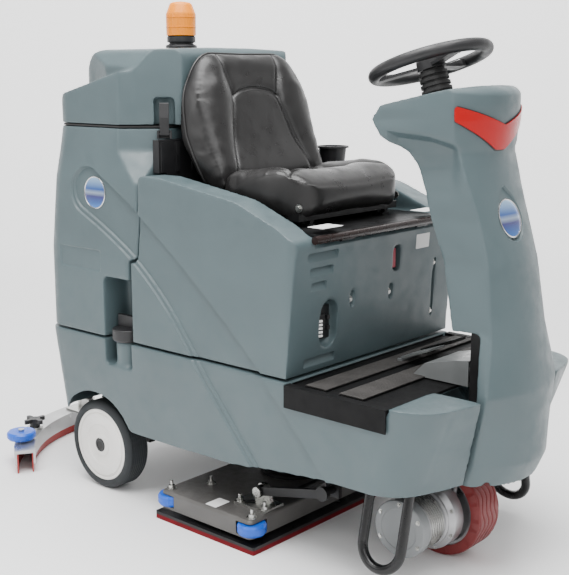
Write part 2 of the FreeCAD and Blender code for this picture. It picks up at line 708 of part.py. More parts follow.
def column_shell():
    upper = column_solid()
    nose_outer = loft([column_plan(*station) for station in NOSE_STATIONS])
    nose_inner = loft([column_plan(*station, WALL) for station in NOSE_STATIONS])
    open_back = box((900, 1132), (-120, 120), (200, 600))
    nose = nose_outer.cut(nose_inner).cut(open_back)
    below = panel_place(prism_xz([(-300, -700), (500, -700), (500, -75), (205, -75), (194, 0, 38), (-300, 0)],
                                 -400, 400))
    inner = column_solid(WALL).common(panel_place(box((-300, 400), (-400, 400), (-700, -18))))
    mouth = column_plan(*COLUMN_STATIONS[0], WALL)
    mouth_cut = Part.Face(mouth).extrude(V(0, 0, 30)).translated(V(0, 0, -15))
    dish = panel_place(rounded_box((-26, 140), (-126, 126), (-12, 60), 22))
    shaft_hole = steering_rod(-150, 40, 20.2)
    boot_seat = steering_rod(BOOT_BOTTOM - 1, 40, 38.5)
    shell = upper.common(below).cut(inner).cut(mouth_cut).cut(dish).cut(shaft_hole).cut(boot_seat)
    return fused(shell, nose)


def signal_lens():
    arrow = prism_yz([(-152, 1092, 10), (-152, 1062, 10), (0, 981, 14), (152, 1062, 10), (152, 1092, 10),
                      (0, 1046, 6)], 990, 1200)
    ends = prism_xz([(1031, 1060, 14), (1031, 1093, 14), (1200, 1093), (1200, 950), (1085, 950)], -200, 200)
    return column_solid(-4.0).common(arrow).common(ends).cut(column_solid(-0.2))


def steering_axis():
    tilt = math.radians(WHEEL_TILT)
    return V(-math.sin(tilt), 0, math.cos(tilt))


def steering_rod(low, high, radius):
    """Round bar on the steering wheel's axis, between distances from the wheel's centre."""
    axis = steering_axis()
    return Part.makeCylinder(radius, high - low, WHEEL_CENTRE + axis * low, axis)


def on_steering_axis(shape):
    return placed(shape, WHEEL_CENTRE, V(0, 1, 0), -WHEEL_TILT)


def steering_rim():
    ring = Part.makeTorus(RIM_RADIUS, RIM_TUBE)
    return on_steering_axis(ring)


def steering_hub():
    """Hub and three spokes, up to the rim's inside."""
    hub = disc(0, 0, BOOT_TOP + 1.5, 4, 34)
    spokes = []
    for angle in (90, 210, 330):
        spoke = box((20, RIM_RADIUS - 4), (-15, 15), (-12, -5))
        clip = box((RIM_RADIUS - RIM_TUBE - 14, RIM_RADIUS - 8), (-20, 20), (-11, 4))
        spoke = spoke.fuse(clip)
        spoke.rotate(V(0, 0, 0), V(0, 0, 1), angle)
        spokes.append(spoke)
    cover = turned([(0, 4), (34, 4), (32, 12, 4), (0, 15)], (0, 0, 0))
    bore = disc(0, 0, -40, -8, 11)
    return on_steering_axis(fused(hub, cover, *spokes).cut(bore))


def steering_wheel():
    """Rim, spokes and hub, with the upper shaft pinned in the hub."""
    shaft = fused(steering_rod(-176, -8.2, 11), steering_rod(-182, -170, 15))
    return group([fused(steering_rim(), steering_hub()), shaft])


def middle_shaft_ends():
    top = WHEEL_CENTRE - steering_axis() * UPPER_JOINT_DROP
    along = (LOWER_JOINT - top).normalize()
    return top + along * 10, LOWER_JOINT - along * 16


def steering_shaft_middle():
    start, end = middle_shaft_ends()
    along = (end - start).normalize()
    bar = rod(start, end, 9)
    yokes = [rod(start, start + along * 12, 14), rod(end - along * 12, end, 14)]
    return fused(bar, *yokes)


def steering_shaft_lower():
    x = LOWER_JOINT.x
    bar = disc(x, 0, 258, 588, 10)
    yoke = disc(x, 0, 574, 588, 14)
    sprocket = disc(x, 0, SPROCKET_Z, SPROCKET_Z + 8, SPROCKET_SMALL)
    return fused(bar, yoke, sprocket)


def steering_tube():
    return steering_rod(-158, -48, 20).cut(steering_rod(-170, -30, 11 + FIT))


def steering_boot():
    """Ribbed rubber boot between the console and the steering wheel's hub."""
    ribs = 6
    pitch = (BOOT_TOP - BOOT_BOTTOM) / ribs
    corners = [(20.5, BOOT_BOTTOM)]
    for i in range(ribs):
        level = BOOT_BOTTOM + i * pitch
        corners.append((38 - i * 0.8, level))
        corners.append((38 - i * 0.8, level + pitch * 0.55))
        corners.append((32 - i * 0.6, level + pitch * 0.55))
        corners.append((32 - i * 0.6, level + pitch))
    corners.append((20.5, BOOT_TOP))
    return on_steering_axis(turned(corners, (0, 0, 0)))


def steering_chain():
    """Roller chain as a closed band round both sprockets."""
    def band(large, small, low, high):
        far = disc(LOWER_JOINT.x, 0, low, high, small)
        near = disc(DRIVE_X, 0, low, high, large)
        gap = LOWER_JOINT.x - DRIVE_X
        lean = math.acos((large - small) / gap)
        points = [(DRIVE_X + large * math.cos(lean), large * math.sin(lean)),
                  (LOWER_JOINT.x + small * math.cos(lean), small * math.sin(lean))]
        corners = [points[0], points[1], (points[1][0], -points[1][1]), (points[0][0], -points[0][1])]
        return fused(near, far, prism_xy(corners, low, high))
    outer = band(SPROCKET_LARGE + 8, SPROCKET_SMALL + 8, SPROCKET_Z + 1, SPROCKET_Z + 7)
    inner = band(SPROCKET_LARGE + 0.6, SPROCKET_SMALL + 0.6, SPROCKET_Z, SPROCKET_Z + 8)
    return outer.cut(inner)


def console_panel():
    """Control panel plate and display in the dish of the console's top, and the fixed tube round the shaft."""
    plate = rounded_box((-24, 138), (-124, 124), (-12, -9), 20)
    display = rounded_box((70, 122), (-45, 45), (-9, -6), 5)
    collar = disc(STOP_PLACE[0], STOP_PLACE[1], -9, -8, 11)
    guide = disc(STOP_PLACE[0], STOP_PLACE[1], -20, 0, STOP_STEM + FIT)
    rocker_slot = box((76, 108), (82, 102), (-20, 0))
    panel = fused(plate, display, collar).cut(guide).cut(rocker_slot)
    return group([panel_place(panel).cut(steering_rod(-150, 40, 39)), steering_tube()])


def panel_piece(x, y, low, high, radius):
    return panel_place(disc(x, y, low, high, radius))


def emergency_stop():
    """Mushroom button whose stem slides in the panel's collar."""
    x, y = STOP_PLACE
    return fused(panel_piece(x, y, -3.5, 0, 15), panel_piece(x, y, -7, -3.5, STOP_STEM))


def key_switch():
    x, y = KEY_PLACE
    blade = panel_place(box((x - 9, x + 9), (y - 2.5, y + 2.5), (-6, -0.5)))
    return fused(panel_piece(x, y, -8.9, -6, 9), blade)


def direction_rocker():
    return panel_place(prism_xz([(80, -8.4), (104, -8.4), (106, -3.5), (92, -5.5), (78, -3.5)], 84, 100))


# ---------------------------------------------------------------- pedals
def pedal_bracket():
    """Sheet steel housing of the pedal sensors, and the pins that the pedals turn on."""
    cover = prism_xz([(892, FOOT_Z + 10), (1046, FOOT_Z + 10), (1046, 511), (1010, 506), (925, 484)], -74, 74)
    hollow = prism_xz([(900, FOOT_Z + 9), (1048, FOOT_Z + 9), (1048, 507), (1010, 502), (928, 480)], -70, 70)
    return group([cover.cut(hollow), *pedal_pins()])


def pedal(y, length, rise, plate):
    """Treadle that turns about its heel; y are its sides."""
    x, z = PEDAL_HEEL
    toe = (x + length, z + rise)
    tread = prism_xz([(x, z + 3), toe, (toe[0], toe[1] + plate), (x, z + 3 + plate)], *y)
    tube = rod((x, y[0], z), (x, y[1], z), 5)
    return fused(tread, tube).cut(rod((x, y[0] - 5, z), (x, y[1] + 5, z), 2.5 + FIT))


def accelerator_pedal():
    return pedal(ACCELERATOR_Y, 82, 34, 5)


def brake_pedal():
    return pedal(BRAKE_Y, 92, 40, 8)


def pedal_pins():
    x, z = PEDAL_HEEL
    pins = []
    for low, high in (ACCELERATOR_Y, BRAKE_Y):
        pin = rod((x, low - 5, z), (x, high + 5, z), 2.5)
        ears = [box((x - 6, x + 6), y, (z - 5.4, z + 4)) for y in ((low - 5, low - 1), (high + 1, high + 5))]
        pins.append(fused(pin, *ears))
    return pins


# ---------------------------------------------------------------- wheels and drive
def rear_axle():
    """Axle through both wheels, with a wider cap at each end."""
    axle = rod((0, -312, REAR_WHEEL_RADIUS), (0, 312, REAR_WHEEL_RADIUS), AXLE_RADIUS)
    cap = rod((0, -315, REAR_WHEEL_RADIUS), (0, -311.4, REAR_WHEEL_RADIUS), 20)
    return fused(axle, cap, mirrored(cap))


def rear_rim():
    """Right rear wheel centre, turned about the axle."""
    half = REAR_WHEEL_WIDTH / 2
    bore = AXLE_RADIUS + FIT
    rim = 104
    profile = [(bore, -half + 6), (22, -half + 6), (22, -half + 22), (86, -half + 22), (90, -half + 2),
               (rim, -half + 2), (rim, half - 2), (92, half - 1, 2), (88, half - 7), (72, half - 9),
               (68, half - 5), (bore, half - 5)]
    return turned(profile, (0, -REAR_WHEEL_FACE + half, REAR_WHEEL_RADIUS), V(0, -1, 0))


def rear_tyre():
    half = REAR_WHEEL_WIDTH / 2
    outer = REAR_WHEEL_RADIUS
    profile = [(104.2, -half), (112, -half), (outer, -half + 10, 10), (outer, half - 10, 10), (112, half),
               (104.2, half)]
    return turned(profile, (0, -REAR_WHEEL_FACE + half, REAR_WHEEL_RADIUS), V(0, -1, 0))


def rear_wheel():
    return group([rear_rim(), rear_tyre()])


def drive_fork():
    ring = disc(DRIVE_X, 0, 244, 256, 108)
    kingpin = disc(DRIVE_X, 0, 256, 300, 25)
    sprocket = disc(DRIVE_X, 0, SPROCKET_Z, SPROCKET_Z + 8, SPROCKET_LARGE)
    cheek = prism_xz([(DRIVE_X - 48, 100), (DRIVE_X - 30, 64), (DRIVE_X + 30, 64), (DRIVE_X + 48, 100),
                      (DRIVE_X + 60, 244), (DRIVE_X - 60, 244)], -62, -50)
    fork = fused(ring, kingpin, sprocket, cheek)
    return fork.cut(rod((DRIVE_X, -80, DRIVE_RADIUS), (DRIVE_X, -20, DRIVE_RADIUS), 16 + FIT))


def drive_motor():
    """Gearbox and motor in line, on the outside of the fork."""
    gearbox, motor, cover = 84, 66, 70
    profile = [(0, 0), (gearbox, 0), (gearbox, 34), (72, 44), (72, 50), (motor, 52), (motor, 120), (cover, 124),
               (cover, 150, 4), (0, 152)]
    return turned(profile, (DRIVE_X, -62.3, DRIVE_RADIUS), V(0, -1, 0))


def drive_hub():
    web = turned([(0, -40), (30, -40), (34, -16), (84, -12), (84, -40), (92, -40), (92, 40), (84, 40), (84, 0),
                  (34, -4), (30, 26), (0, 28)], (DRIVE_X, 0, DRIVE_RADIUS), V(0, 1, 0))
    shaft = rod((DRIVE_X, -61.8, DRIVE_RADIUS), (DRIVE_X, -30, DRIVE_RADIUS), 16)
    return fused(web, shaft)


def drive_tyre():
    half = DRIVE_HALF_WIDTH
    return turned([(92.2, -half), (DRIVE_RADIUS, -half, 5), (DRIVE_RADIUS, half, 5), (92.2, half)],
                  (DRIVE_X, 0, DRIVE_RADIUS), V(0, 1, 0))


def drive_wheel():
    return group([drive_hub(), drive_tyre()])


# ---------------------------------------------------------------- scrub deck
def deck_housing():
    length = (DECK_X - DECK_HALF_LENGTH, DECK_X + DECK_HALF_LENGTH)
    width = (-DECK_HALF_WIDTH, DECK_HALF_WIDTH)
    shell = rounded_box(length, width, (DECK_BOTTOM_Z, DECK_TOP_Z), 14)
    top_edges = [e for e in shell.Edges if abs(e.CenterOfMass.z - DECK_TOP_Z) < 0.01]
    shell = shell.makeFillet(9, top_edges)
    hollow = rounded_box((length[0] + 8, length[1] - 8), (width[0] + 8, width[1] - 8),
                         (DECK_BOTTOM_Z - 1, DECK_TOP_Z - 8), 6)
    housing = shell.cut(hollow)
    posts = [disc(x, y, DECK_BOTTOM_Z, DECK_TOP_Z - 8, 8) for x, y in isolator_places()]
    housing = fused(housing, *posts)
    for x, y in DECK_ROLLER_PLACES:
        housing = housing.cut(disc(x, y, 38, 71, DECK_ROLLER_RADIUS + 3))
        corner_x = x + math.copysign(60, x - DECK_X)
        corner_y = y + math.copysign(60, y)
        window = box(sorted((x, corner_x)), sorted((y, corner_y)), (38, 71))
        housing = housing.cut(window).cut(disc(x, y, 60, 100, 4 + FIT))
    return housing.cut(disc(DECK_X, 0, DECK_BOTTOM_Z - 5, 100, 17))


def isolator_places():
    return [(DECK_X + sx * 90.0, sy * 230.0) for sx in (-1, 1) for sy in (-1, 1)]


def deck_isolators():
    return [disc(x, y, 20.6, DECK_BOTTOM_Z - 0.1, 14) for x, y in isolator_places()]


def deck_studs():
    """Studs with washers and nuts on top of the deck, and the rollers' bolts."""
    base = DECK_TOP_Z + 0.1
    studs = []
    for x, y in isolator_places() + DECK_ROLLER_PLACES:
        studs.append(fused(disc(x, y, base, base + 2, 13), disc(x, y, base + 2, base + 10, 8.5),
                           disc(x, y, base + 10, base + 22, 4)))
    bolts = [disc(x, y, 33, base, 4) for x, y in DECK_ROLLER_PLACES]
    return studs + bolts


def deck_brackets():
    base = box((497, 603), (214, 286), (DECK_TOP_Z + 0.1, DECK_TOP_Z + 7))
    upright = prism_xz([(528, DECK_TOP_Z + 5), (582, DECK_TOP_Z + 5), (568, 134, 8), (542, 134, 8)], 228, 240)
    pin = rod((DECK_PIN[0], 236, DECK_PIN[1]), (DECK_PIN[0], 264, DECK_PIN[1]), 8)
    washer = rod((DECK_PIN[0], 258, DECK_PIN[1]), (DECK_PIN[0], 264, DECK_PIN[1]), 13)
    bolts = [disc(x, 274, DECK_TOP_Z + 7, DECK_TOP_Z + 26, 5) for x in (508, 592)]
    heads = [disc(x, 274, DECK_TOP_Z + 7, DECK_TOP_Z + 15, 9) for x in (508, 592)]
    bracket = fused(base, upright, pin, washer, *bolts, *heads)
    return [bracket, mirrored(bracket)]


def deck_hardware():
    """Lift brackets, rubber isolators, studs and roller bolts of the deck."""
    return group(deck_brackets() + deck_isolators() + deck_studs())


def deck_motor():
    flange = disc(DECK_X, 0, DECK_TOP_Z + 0.1, DECK_TOP_Z + 10, 90)
    body = turned([(0, 89), (74, 89), (74, 180, 8), (60, 188), (0, 190)], (DECK_X, 0, 0))
    return fused(flange, body).cut(disc(DECK_X, 0, 70, 110, 15))


def deck_arms():
    """Two lift arms on stub axles, joined by a cross tube."""
    along = math.degrees(math.atan2(DECK_PIN[1] - DECK_PIVOT[1], DECK_PIN[0] - DECK_PIVOT[0]))
    length = math.hypot(DECK_PIN[0] - DECK_PIVOT[0], DECK_PIN[1] - DECK_PIVOT[1])
    bar = box((0, length), (243, 255), (-11, 11))
    bar = fused(bar, rod((0, 243, 0), (0, 255, 0), 18), rod((length, 243, 0), (length, 255, 0), 15),
                rod((0, 194, 0), (0, 243, 0), 10))
    bar = bar.cut(rod((length, 230, 0), (length, 270, 0), 8 + FIT))
    cross_tube = rod((length * 0.45, -243, 0), (length * 0.45, 243, 0), 9)
    arms = fused(bar, mirrored(bar), cross_tube)
    arms.rotate(V(0, 0, 0), V(0, 1, 0), -along)
    arms.translate(V(DECK_PIVOT[0], 0, DECK_PIVOT[1]))
    return arms


def eccentric():
    shaft = disc(DECK_X, 0, 33, 108, 14)
    crank = disc(DECK_X + ORBIT, 0, 14.5, 33, 12)
    weight = disc(DECK_X, 0, 40, 56, 16.5)
    return fused(shaft, crank, weight)


def pad_driver():
    """Plate that carries the pad on the eccentric."""
    plate = rounded_box((DECK_X + ORBIT - PAD_HALF_LENGTH, DECK_X + ORBIT + PAD_HALF_LENGTH),
                        (-PAD_HALF_WIDTH, PAD_HALF_WIDTH), (12, 20), 6)
    boss = disc(DECK_X + ORBIT, 0, 20, 31, 26)
    return fused(plate, boss).cut(disc(DECK_X + ORBIT, 0, 14, 40, 12 + FIT))


def scrub_pad():
    return rounded_box((DECK_X + ORBIT - PAD_HALF_LENGTH, DECK_X + ORBIT + PAD_HALF_LENGTH),
                       (-PAD_HALF_WIDTH, PAD_HALF_WIDTH), (0, 11.9), 6)


def deck_roller(place):
    radius = DECK_ROLLER_RADIUS
    profile = [(4 + FIT, 40), (radius - 4, 40), (radius, 46, 3), (radius, 62, 3), (radius - 4, 68),
               (4 + FIT, 68)]
    return turned(profile, (*DECK_ROLLER_PLACES[place], 0))


# ---------------------------------------------------------------- squeegee
def arc_band(inner, outer, low, high, half_angle=SQUEEGEE_HALF_ANGLE):
    """Curved bar round the squeegee's centre."""
    ring = Part.makeCylinder(outer, high - low, V(0, 0, low), V(0, 0, 1), 2 * half_angle)
    hole = Part.makeCylinder(inner, high - low + 2, V(0, 0, low - 1))
    band = ring.cut(hole)
    band.rotate(V(0, 0, 0), V(0, 0, 1), 180 - half_angle)
    return band.translated(V(SQUEEGEE_CENTRE_X, 0, 0))


def squeegee_point(radius, angle):
    """Plan position on the squeegee, angle in degrees from its middle towards the right."""
    turn = math.radians(180 + angle)
    return SQUEEGEE_CENTRE_X + radius * math.cos(turn), radius * math.sin(turn)


def squeegee_body():
    top = arc_band(SQUEEGEE_INNER, SQUEEGEE_OUTER, 60, SQUEEGEE_TOP_Z)
    front = arc_band(SQUEEGEE_INNER, SQUEEGEE_INNER + 6, 26, 60)
    back = arc_band(SQUEEGEE_OUTER - 6, SQUEEGEE_OUTER, 26, 60)
    return fused(top, front, back)


def squeegee_blades():
    front = arc_band(SQUEEGEE_INNER + 6.3, SQUEEGEE_INNER + 10, 1, 59.5, SQUEEGEE_HALF_ANGLE - 0.2)
    back = arc_band(SQUEEGEE_OUTER - 11, SQUEEGEE_OUTER - 6.3, 0, 59.5, SQUEEGEE_HALF_ANGLE - 0.2)
    return group([front, back])


def squeegee_bracket():
    """Plate with ears for the pulling arms and the collar of the suction tube."""
    plate = box((-480, -384), (-70, 70), (SQUEEGEE_TOP_Z + 0.2, SQUEEGEE_TOP_Z + 6))
    ears = [box((-420, -384), y, (SQUEEGEE_TOP_Z + 6, 118)) for y in ((44, 52), (-52, -44))]
    pin = rod((SQUEEGEE_PIN[0], -52, SQUEEGEE_PIN[1]), (SQUEEGEE_PIN[0], 52, SQUEEGEE_PIN[1]), 8)
    collar = disc(SUCTION_FOOT_X, 0, SQUEEGEE_TOP_Z + 6, 96, SUCTION_RADIUS + 6)
    bracket = fused(plate, collar, pin, *ears)
    return bracket.cut(disc(SUCTION_FOOT_X, 0, SQUEEGEE_TOP_Z + 6, 120, SUCTION_RADIUS + FIT))


def squeegee_arms():
    """Two pulling arms between the chassis and the squeegee, joined by a pivot tube."""
    along = math.degrees(math.atan2(SQUEEGEE_PIN[1] - SQUEEGEE_PIVOT[1], SQUEEGEE_PIN[0] - SQUEEGEE_PIVOT[0]))
    length = math.hypot(SQUEEGEE_PIN[0] - SQUEEGEE_PIVOT[0], SQUEEGEE_PIN[1] - SQUEEGEE_PIVOT[1])
    arm = box((0, length), (26, 34), (-10, 10))
    arm = fused(arm, rod((0, 26, 0), (0, 34, 0), 15), rod((length, 26, 0), (length, 34, 0), 14))
    arm = arm.cut(rod((length, 10, 0), (length, 50, 0), 8 + FIT))
    arm.rotate(V(0, 0, 0), V(0, 1, 0), -along)
    arm.translate(V(SQUEEGEE_PIVOT[0], 0, SQUEEGEE_PIVOT[1]))
    tube = rod((SQUEEGEE_PIVOT[0], -50, SQUEEGEE_PIVOT[1]), (SQUEEGEE_PIVOT[0], 50, SQUEEGEE_PIVOT[1]), 8)
    return fused(tube, arm, mirrored(arm))


def suction_tube():
    """Rigid tube from the squeegee's collar up into the tank's port."""
    path = bent_path([(SUCTION_FOOT_X, 0, SQUEEGEE_TOP_Z + 6.2), (SUCTION_FOOT_X, 0, 190),
                      (SUCTION_TOP_X, 0, 290), (SUCTION_TOP_X, 0, 480)], [55, 55])
    return pipe(path, SUCTION_RADIUS)


def tank_back_fittings():
    return group([tube_port(), lid_hinge_knuckles()])


def tube_port():
    """Socket on the tank's back that the suction tube slides in as the squeegee rises."""
    low, high = 388, 560
    block = rounded_box((SUCTION_TOP_X - 38, SUCTION_TOP_X + 38), (-38, 38), (low, high), 20)
    neck = box((SUCTION_TOP_X, -190.5), (-30, 30), (high - 90, high - 5))
    port = fused(block, neck)
    return port.cut(disc(SUCTION_TOP_X, 0, low - 10, high - 10, SUCTION_RADIUS + 9))


def squeegee_roller():
    """Right wall roller on top of the squeegee's end."""
    x, y = squeegee_point(*SQUEEGEE_ROLLER)
    profile = [(5 + FIT, 76), (39, 76), (43, 82, 4), (43, 94, 4), (38, 99), (12, 99), (5 + FIT, 97)]
    return turned(profile, (x, y, 0))


def squeegee_studs():
    """Right roller pin with its seat, and the stud of the right knob."""
    x, y = squeegee_point(*SQUEEGEE_ROLLER)
    seat = fused(disc(x, y, SQUEEGEE_TOP_Z + 0.2, 75.6, 16), disc(x, y, 75, 104, 5), disc(x, y, 99.5, 105, 9))
    x, y = squeegee_point(*SQUEEGEE_KNOB)
    stud = fused(disc(x, y, SQUEEGEE_TOP_Z + 0.2, 76, 24), disc(x, y, 76, 84, 6))
    return [seat, stud]


def squeegee_knob():
    """Right star knob that clamps the blades."""
    x, y = squeegee_point(*SQUEEGEE_KNOB)
    hub = disc(x, y, 76.5, 102, 16).cut(disc(x, y, 70, 86, 6 + FIT))
    arms = []
    for angle in range(0, 360, 90):
        arm = box((0, 30), (-7, 7), (90, 102))
        arm = arm.fuse(disc(30, 0, 90, 102, 7))
        arm.rotate(V(0, 0, 0), V(0, 0, 1), angle)
        arms.append(arm.translated(V(x, y, 0)))
    return fused(hub, *arms).cut(disc(x, y, 70, 86, 6 + FIT))


def squeegee_fittings():
    """The bracket, with the roller pins and the knobs' studs on both sides."""
    studs = squeegee_studs()
    return group([squeegee_bracket(), *studs, *[mirrored(piece) for piece in studs]])


# ---------------------------------------------------------------- writing the pieces
NODES = {
    # the machine itself
    "lower_body": lower_body,
    "chassis_frame": chassis_frame,
    "guard_loops": guard_loops,
    "step_mat": step_mat,
    "recovery_tank": recovery_tank,
    "lid_gasket": lid_gasket,
    "rear_cover": rear_cover,
    "tank_back_fittings": tank_back_fittings,
    "vacuum_motor_and_pump": lambda: group([vacuum_motor(), solution_pump()]),
    "seat_box": seat_box,
    "panel_sockets": panel_sockets,
    "cup_holder": cup_holder,
    "batteries": batteries,
    "column_shell": column_shell,
    "signal_lens": signal_lens,
    "steering_boot": steering_boot,
    "steering_chain": steering_chain,
    "console_panel": console_panel,
    "pedal_bracket": pedal_bracket,
    # lid, filling cap and seat
    "tank_lid": tank_lid,
    "beacon": beacon,
    "lid_latch": lid_latch,
    "fill_cap": fill_cap,
    "seat_plate": seat_plate,
    "seat_pan": seat_pan,
    "seat_backrest": seat_backrest,
    "seat_cushion": seat_cushion,
    # steering and controls
    "steering_wheel": steering_wheel,
    "steering_shaft_middle": steering_shaft_middle,
    "steering_shaft_lower": steering_shaft_lower,
    "emergency_stop": emergency_stop,
    "key_switch": key_switch,
    "direction_rocker": direction_rocker,
    "accelerator_pedal": accelerator_pedal,
    "brake_pedal": brake_pedal,
    # wheels and drive
    "rear_wheel_right": rear_wheel,
    "rear_wheel_left": lambda: mirrored(rear_wheel()),
    "drive_fork": drive_fork,
    "drive_motor": drive_motor,
    "drive_wheel": drive_wheel,
    # scrub deck
    "deck_housing": deck_housing,
    "deck_hardware": deck_hardware,
    "deck_motor": deck_motor,
    "deck_arms": deck_arms,
    "eccentric": eccentric,
    "pad_driver": pad_driver,
    "scrub_pad": scrub_pad,
    "deck_roller_rear_right": lambda: deck_roller(0),
    "deck_roller_rear_left": lambda: deck_roller(1),
    "deck_roller_front_right": lambda: deck_roller(2),
    "deck_roller_front_left": lambda: deck_roller(3),
    # squeegee
    "squeegee_body": squeegee_body,
    "squeegee_blades": squeegee_blades,
    "squeegee_fittings": squeegee_fittings,
    "squeegee_arms": squeegee_arms,
    "suction_tube": suction_tube,
    "squeegee_roller_right": squeegee_roller,
    "squeegee_roller_left": lambda: mirrored(squeegee_roller()),
    "squeegee_knob_right": squeegee_knob,
    "squeegee_knob_left": lambda: mirrored(squeegee_knob()),
}


def save(name, shape):
    """Checks a piece, moves it to the machine's frame and writes its file."""
    shape = shape.translated(V(-ORIGIN_X, 0, 0))
    if not shape.isValid() or not shape.Solids:
        print("INVALID", name)
    size = shape.BoundBox
    sides = (size.XMin, size.XMax, size.YMin, size.YMax, size.ZMin, size.ZMax)
    limits = " ".join(f"{side:7.1f}" for side in sides)
    print(f"{name:24s} {len(shape.Solids):3d} solids  {shape.Volume / 1000:10.1f} cm3  {limits}")
    shape.exportStep(f"parts/{name}.step")


os.makedirs("parts", exist_ok=True)
for node, draw in NODES.items():
    save(node, draw())
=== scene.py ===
"""Looks of the ride-on floor scrubber, built over its CAD frame.

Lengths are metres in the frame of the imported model: +X forwards, +Y the machine's left, +Z up,
the floor z = 0.
"""
import json
import math

import bmesh
import bpy
import numpy as np
from mathutils import Matrix, Vector


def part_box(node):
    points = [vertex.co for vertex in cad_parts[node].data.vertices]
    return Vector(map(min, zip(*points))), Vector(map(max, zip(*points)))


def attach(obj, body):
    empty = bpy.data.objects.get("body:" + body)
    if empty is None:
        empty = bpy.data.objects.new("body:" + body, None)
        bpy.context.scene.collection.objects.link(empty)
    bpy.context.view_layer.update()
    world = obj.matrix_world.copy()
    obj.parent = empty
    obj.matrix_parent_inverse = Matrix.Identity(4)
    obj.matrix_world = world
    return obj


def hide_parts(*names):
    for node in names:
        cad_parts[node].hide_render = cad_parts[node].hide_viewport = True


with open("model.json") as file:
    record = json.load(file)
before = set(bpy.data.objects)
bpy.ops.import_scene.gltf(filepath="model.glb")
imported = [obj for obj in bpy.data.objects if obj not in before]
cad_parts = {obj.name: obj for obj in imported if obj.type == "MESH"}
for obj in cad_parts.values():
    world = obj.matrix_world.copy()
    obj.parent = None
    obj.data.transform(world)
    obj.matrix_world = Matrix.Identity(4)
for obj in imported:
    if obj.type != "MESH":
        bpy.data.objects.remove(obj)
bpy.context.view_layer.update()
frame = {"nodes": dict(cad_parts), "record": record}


# -------- materials
def principled(name, color, roughness, metallic=0.0):
    """New material and its Principled shader."""
    material = bpy.data.materials.new(name)
    material.use_nodes = True
    shader = material.node_tree.nodes["Principled BSDF"]
    shader.inputs["Base Color"].default_value = (*color, 1)
    shader.inputs["Roughness"].default_value = roughness
    shader.inputs["Metallic"].default_value = metallic
    material.diffuse_color = (*color, 1)
    return material, shader


def add(material, kind, **values):
    """Adds a shader node and sets its inputs by name."""
    node = material.node_tree.nodes.new(kind)
    for key, value in values.items():
        if key in node.inputs:
            node.inputs[key].default_value = value
        else:
            setattr(node, key, value)
    return node


def link(material, output, target):
    material.node_tree.links.new(output, target)


def noise(material, scale, detail):
    """Noise over the object's own space, scale in cycles per metre."""
    place = add(material, "ShaderNodeTexCoord")
    texture = add(material, "ShaderNodeTexNoise", Scale=scale, Detail=detail, Roughness=0.55)
    link(material, place.outputs["Object"], texture.inputs["Vector"])
    return texture.outputs["Fac"]


def ramp(material, source, low, high):
    """Turns a 0 to 1 value into a colour or grey between low and high, over the middle of its range."""
    node = add(material, "ShaderNodeValToRGB")
    first, last = node.color_ramp.elements
    first.position, last.position = 0.3, 0.7
    first.color = (*low, 1) if isinstance(low, tuple) else (low, low, low, 1)
    last.color = (*high, 1) if isinstance(high, tuple) else (high, high, high, 1)
    link(material, source, node.inputs["Fac"])
    return node.outputs["Color"]


def bump(material, shader, source, depth):
    """Height source as bump, depth in metres."""
    node = add(material, "ShaderNodeBump", Strength=1.0, Distance=depth)
    link(material, source, node.inputs["Height"])
    link(material, node.outputs["Normal"], shader.inputs["Normal"])


def shade(color, factor):
    return tuple(min(1.0, channel * factor) for channel in color)


GLOSS_SPREAD = 0.12


def surface(name, color, roughness, metallic=0.0, vary=0.12, vary_scale=6.0, grain_scale=900.0,
            grain_depth=0.0002, coat=0.0, specular=0.5):
    """General material: slow colour change, uneven gloss and a fine grain."""
    material, shader = principled(name, color, roughness, metallic)
    slow = noise(material, vary_scale, 5.0)
    tint = ramp(material, slow, shade(color, 1 - vary), shade(color, 1 + vary))
    link(material, tint, shader.inputs["Base Color"])
    patches = noise(material, vary_scale * 4, 3.0)
    gloss = ramp(material, patches, max(0.02, roughness - GLOSS_SPREAD), min(1.0, roughness + GLOSS_SPREAD))
    link(material, gloss, shader.inputs["Roughness"])
    grain = noise(material, grain_scale, 2.0)
    bump(material, shader, grain, grain_depth)
    shader.inputs["Coat Weight"].default_value = coat
    shader.inputs["Specular IOR Level"].default_value = specular
    return material


def badge_face():
    """Blank badge: bands of blue and silver under a clear coat."""
    material, shader = principled("badge_face", (0.05, 0.15, 0.42), 0.2, 0.4)
    place = add(material, "ShaderNodeTexCoord")
    split = add(material, "ShaderNodeSeparateXYZ")
    link(material, place.outputs["Generated"], split.inputs["Vector"])
    colours = add(material, "ShaderNodeValToRGB")
    stops = [(0.0, (0.02, 0.16, 0.5)), (0.38, (0.05, 0.05, 0.2)), (0.5, (0.3, 0.38, 0.5)),
             (0.62, (0.03, 0.1, 0.36)), (1.0, (0.35, 0.55, 0.75))]
    ramp_points = colours.color_ramp.elements
    for position, _ in stops[1:-1]:
        ramp_points.new(position)
    for element, (position, color) in zip(ramp_points, stops):
        element.position = position
        element.color = (*color, 1)
    link(material, split.outputs["Z"], colours.inputs["Fac"])
    link(material, colours.outputs["Color"], shader.inputs["Base Color"])
    shader.inputs["Coat Weight"].default_value = 0.8
    return material


MATERIALS = {"shell": surface("moulded_shell", (0.071, 0.102, 0.11), 0.42, vary=0.07, grain_depth=0.00025)}


def finish(name, color, roughness, metallic=0.0, **extra):
    MATERIALS[name] = surface(name, color, roughness, metallic, **extra)


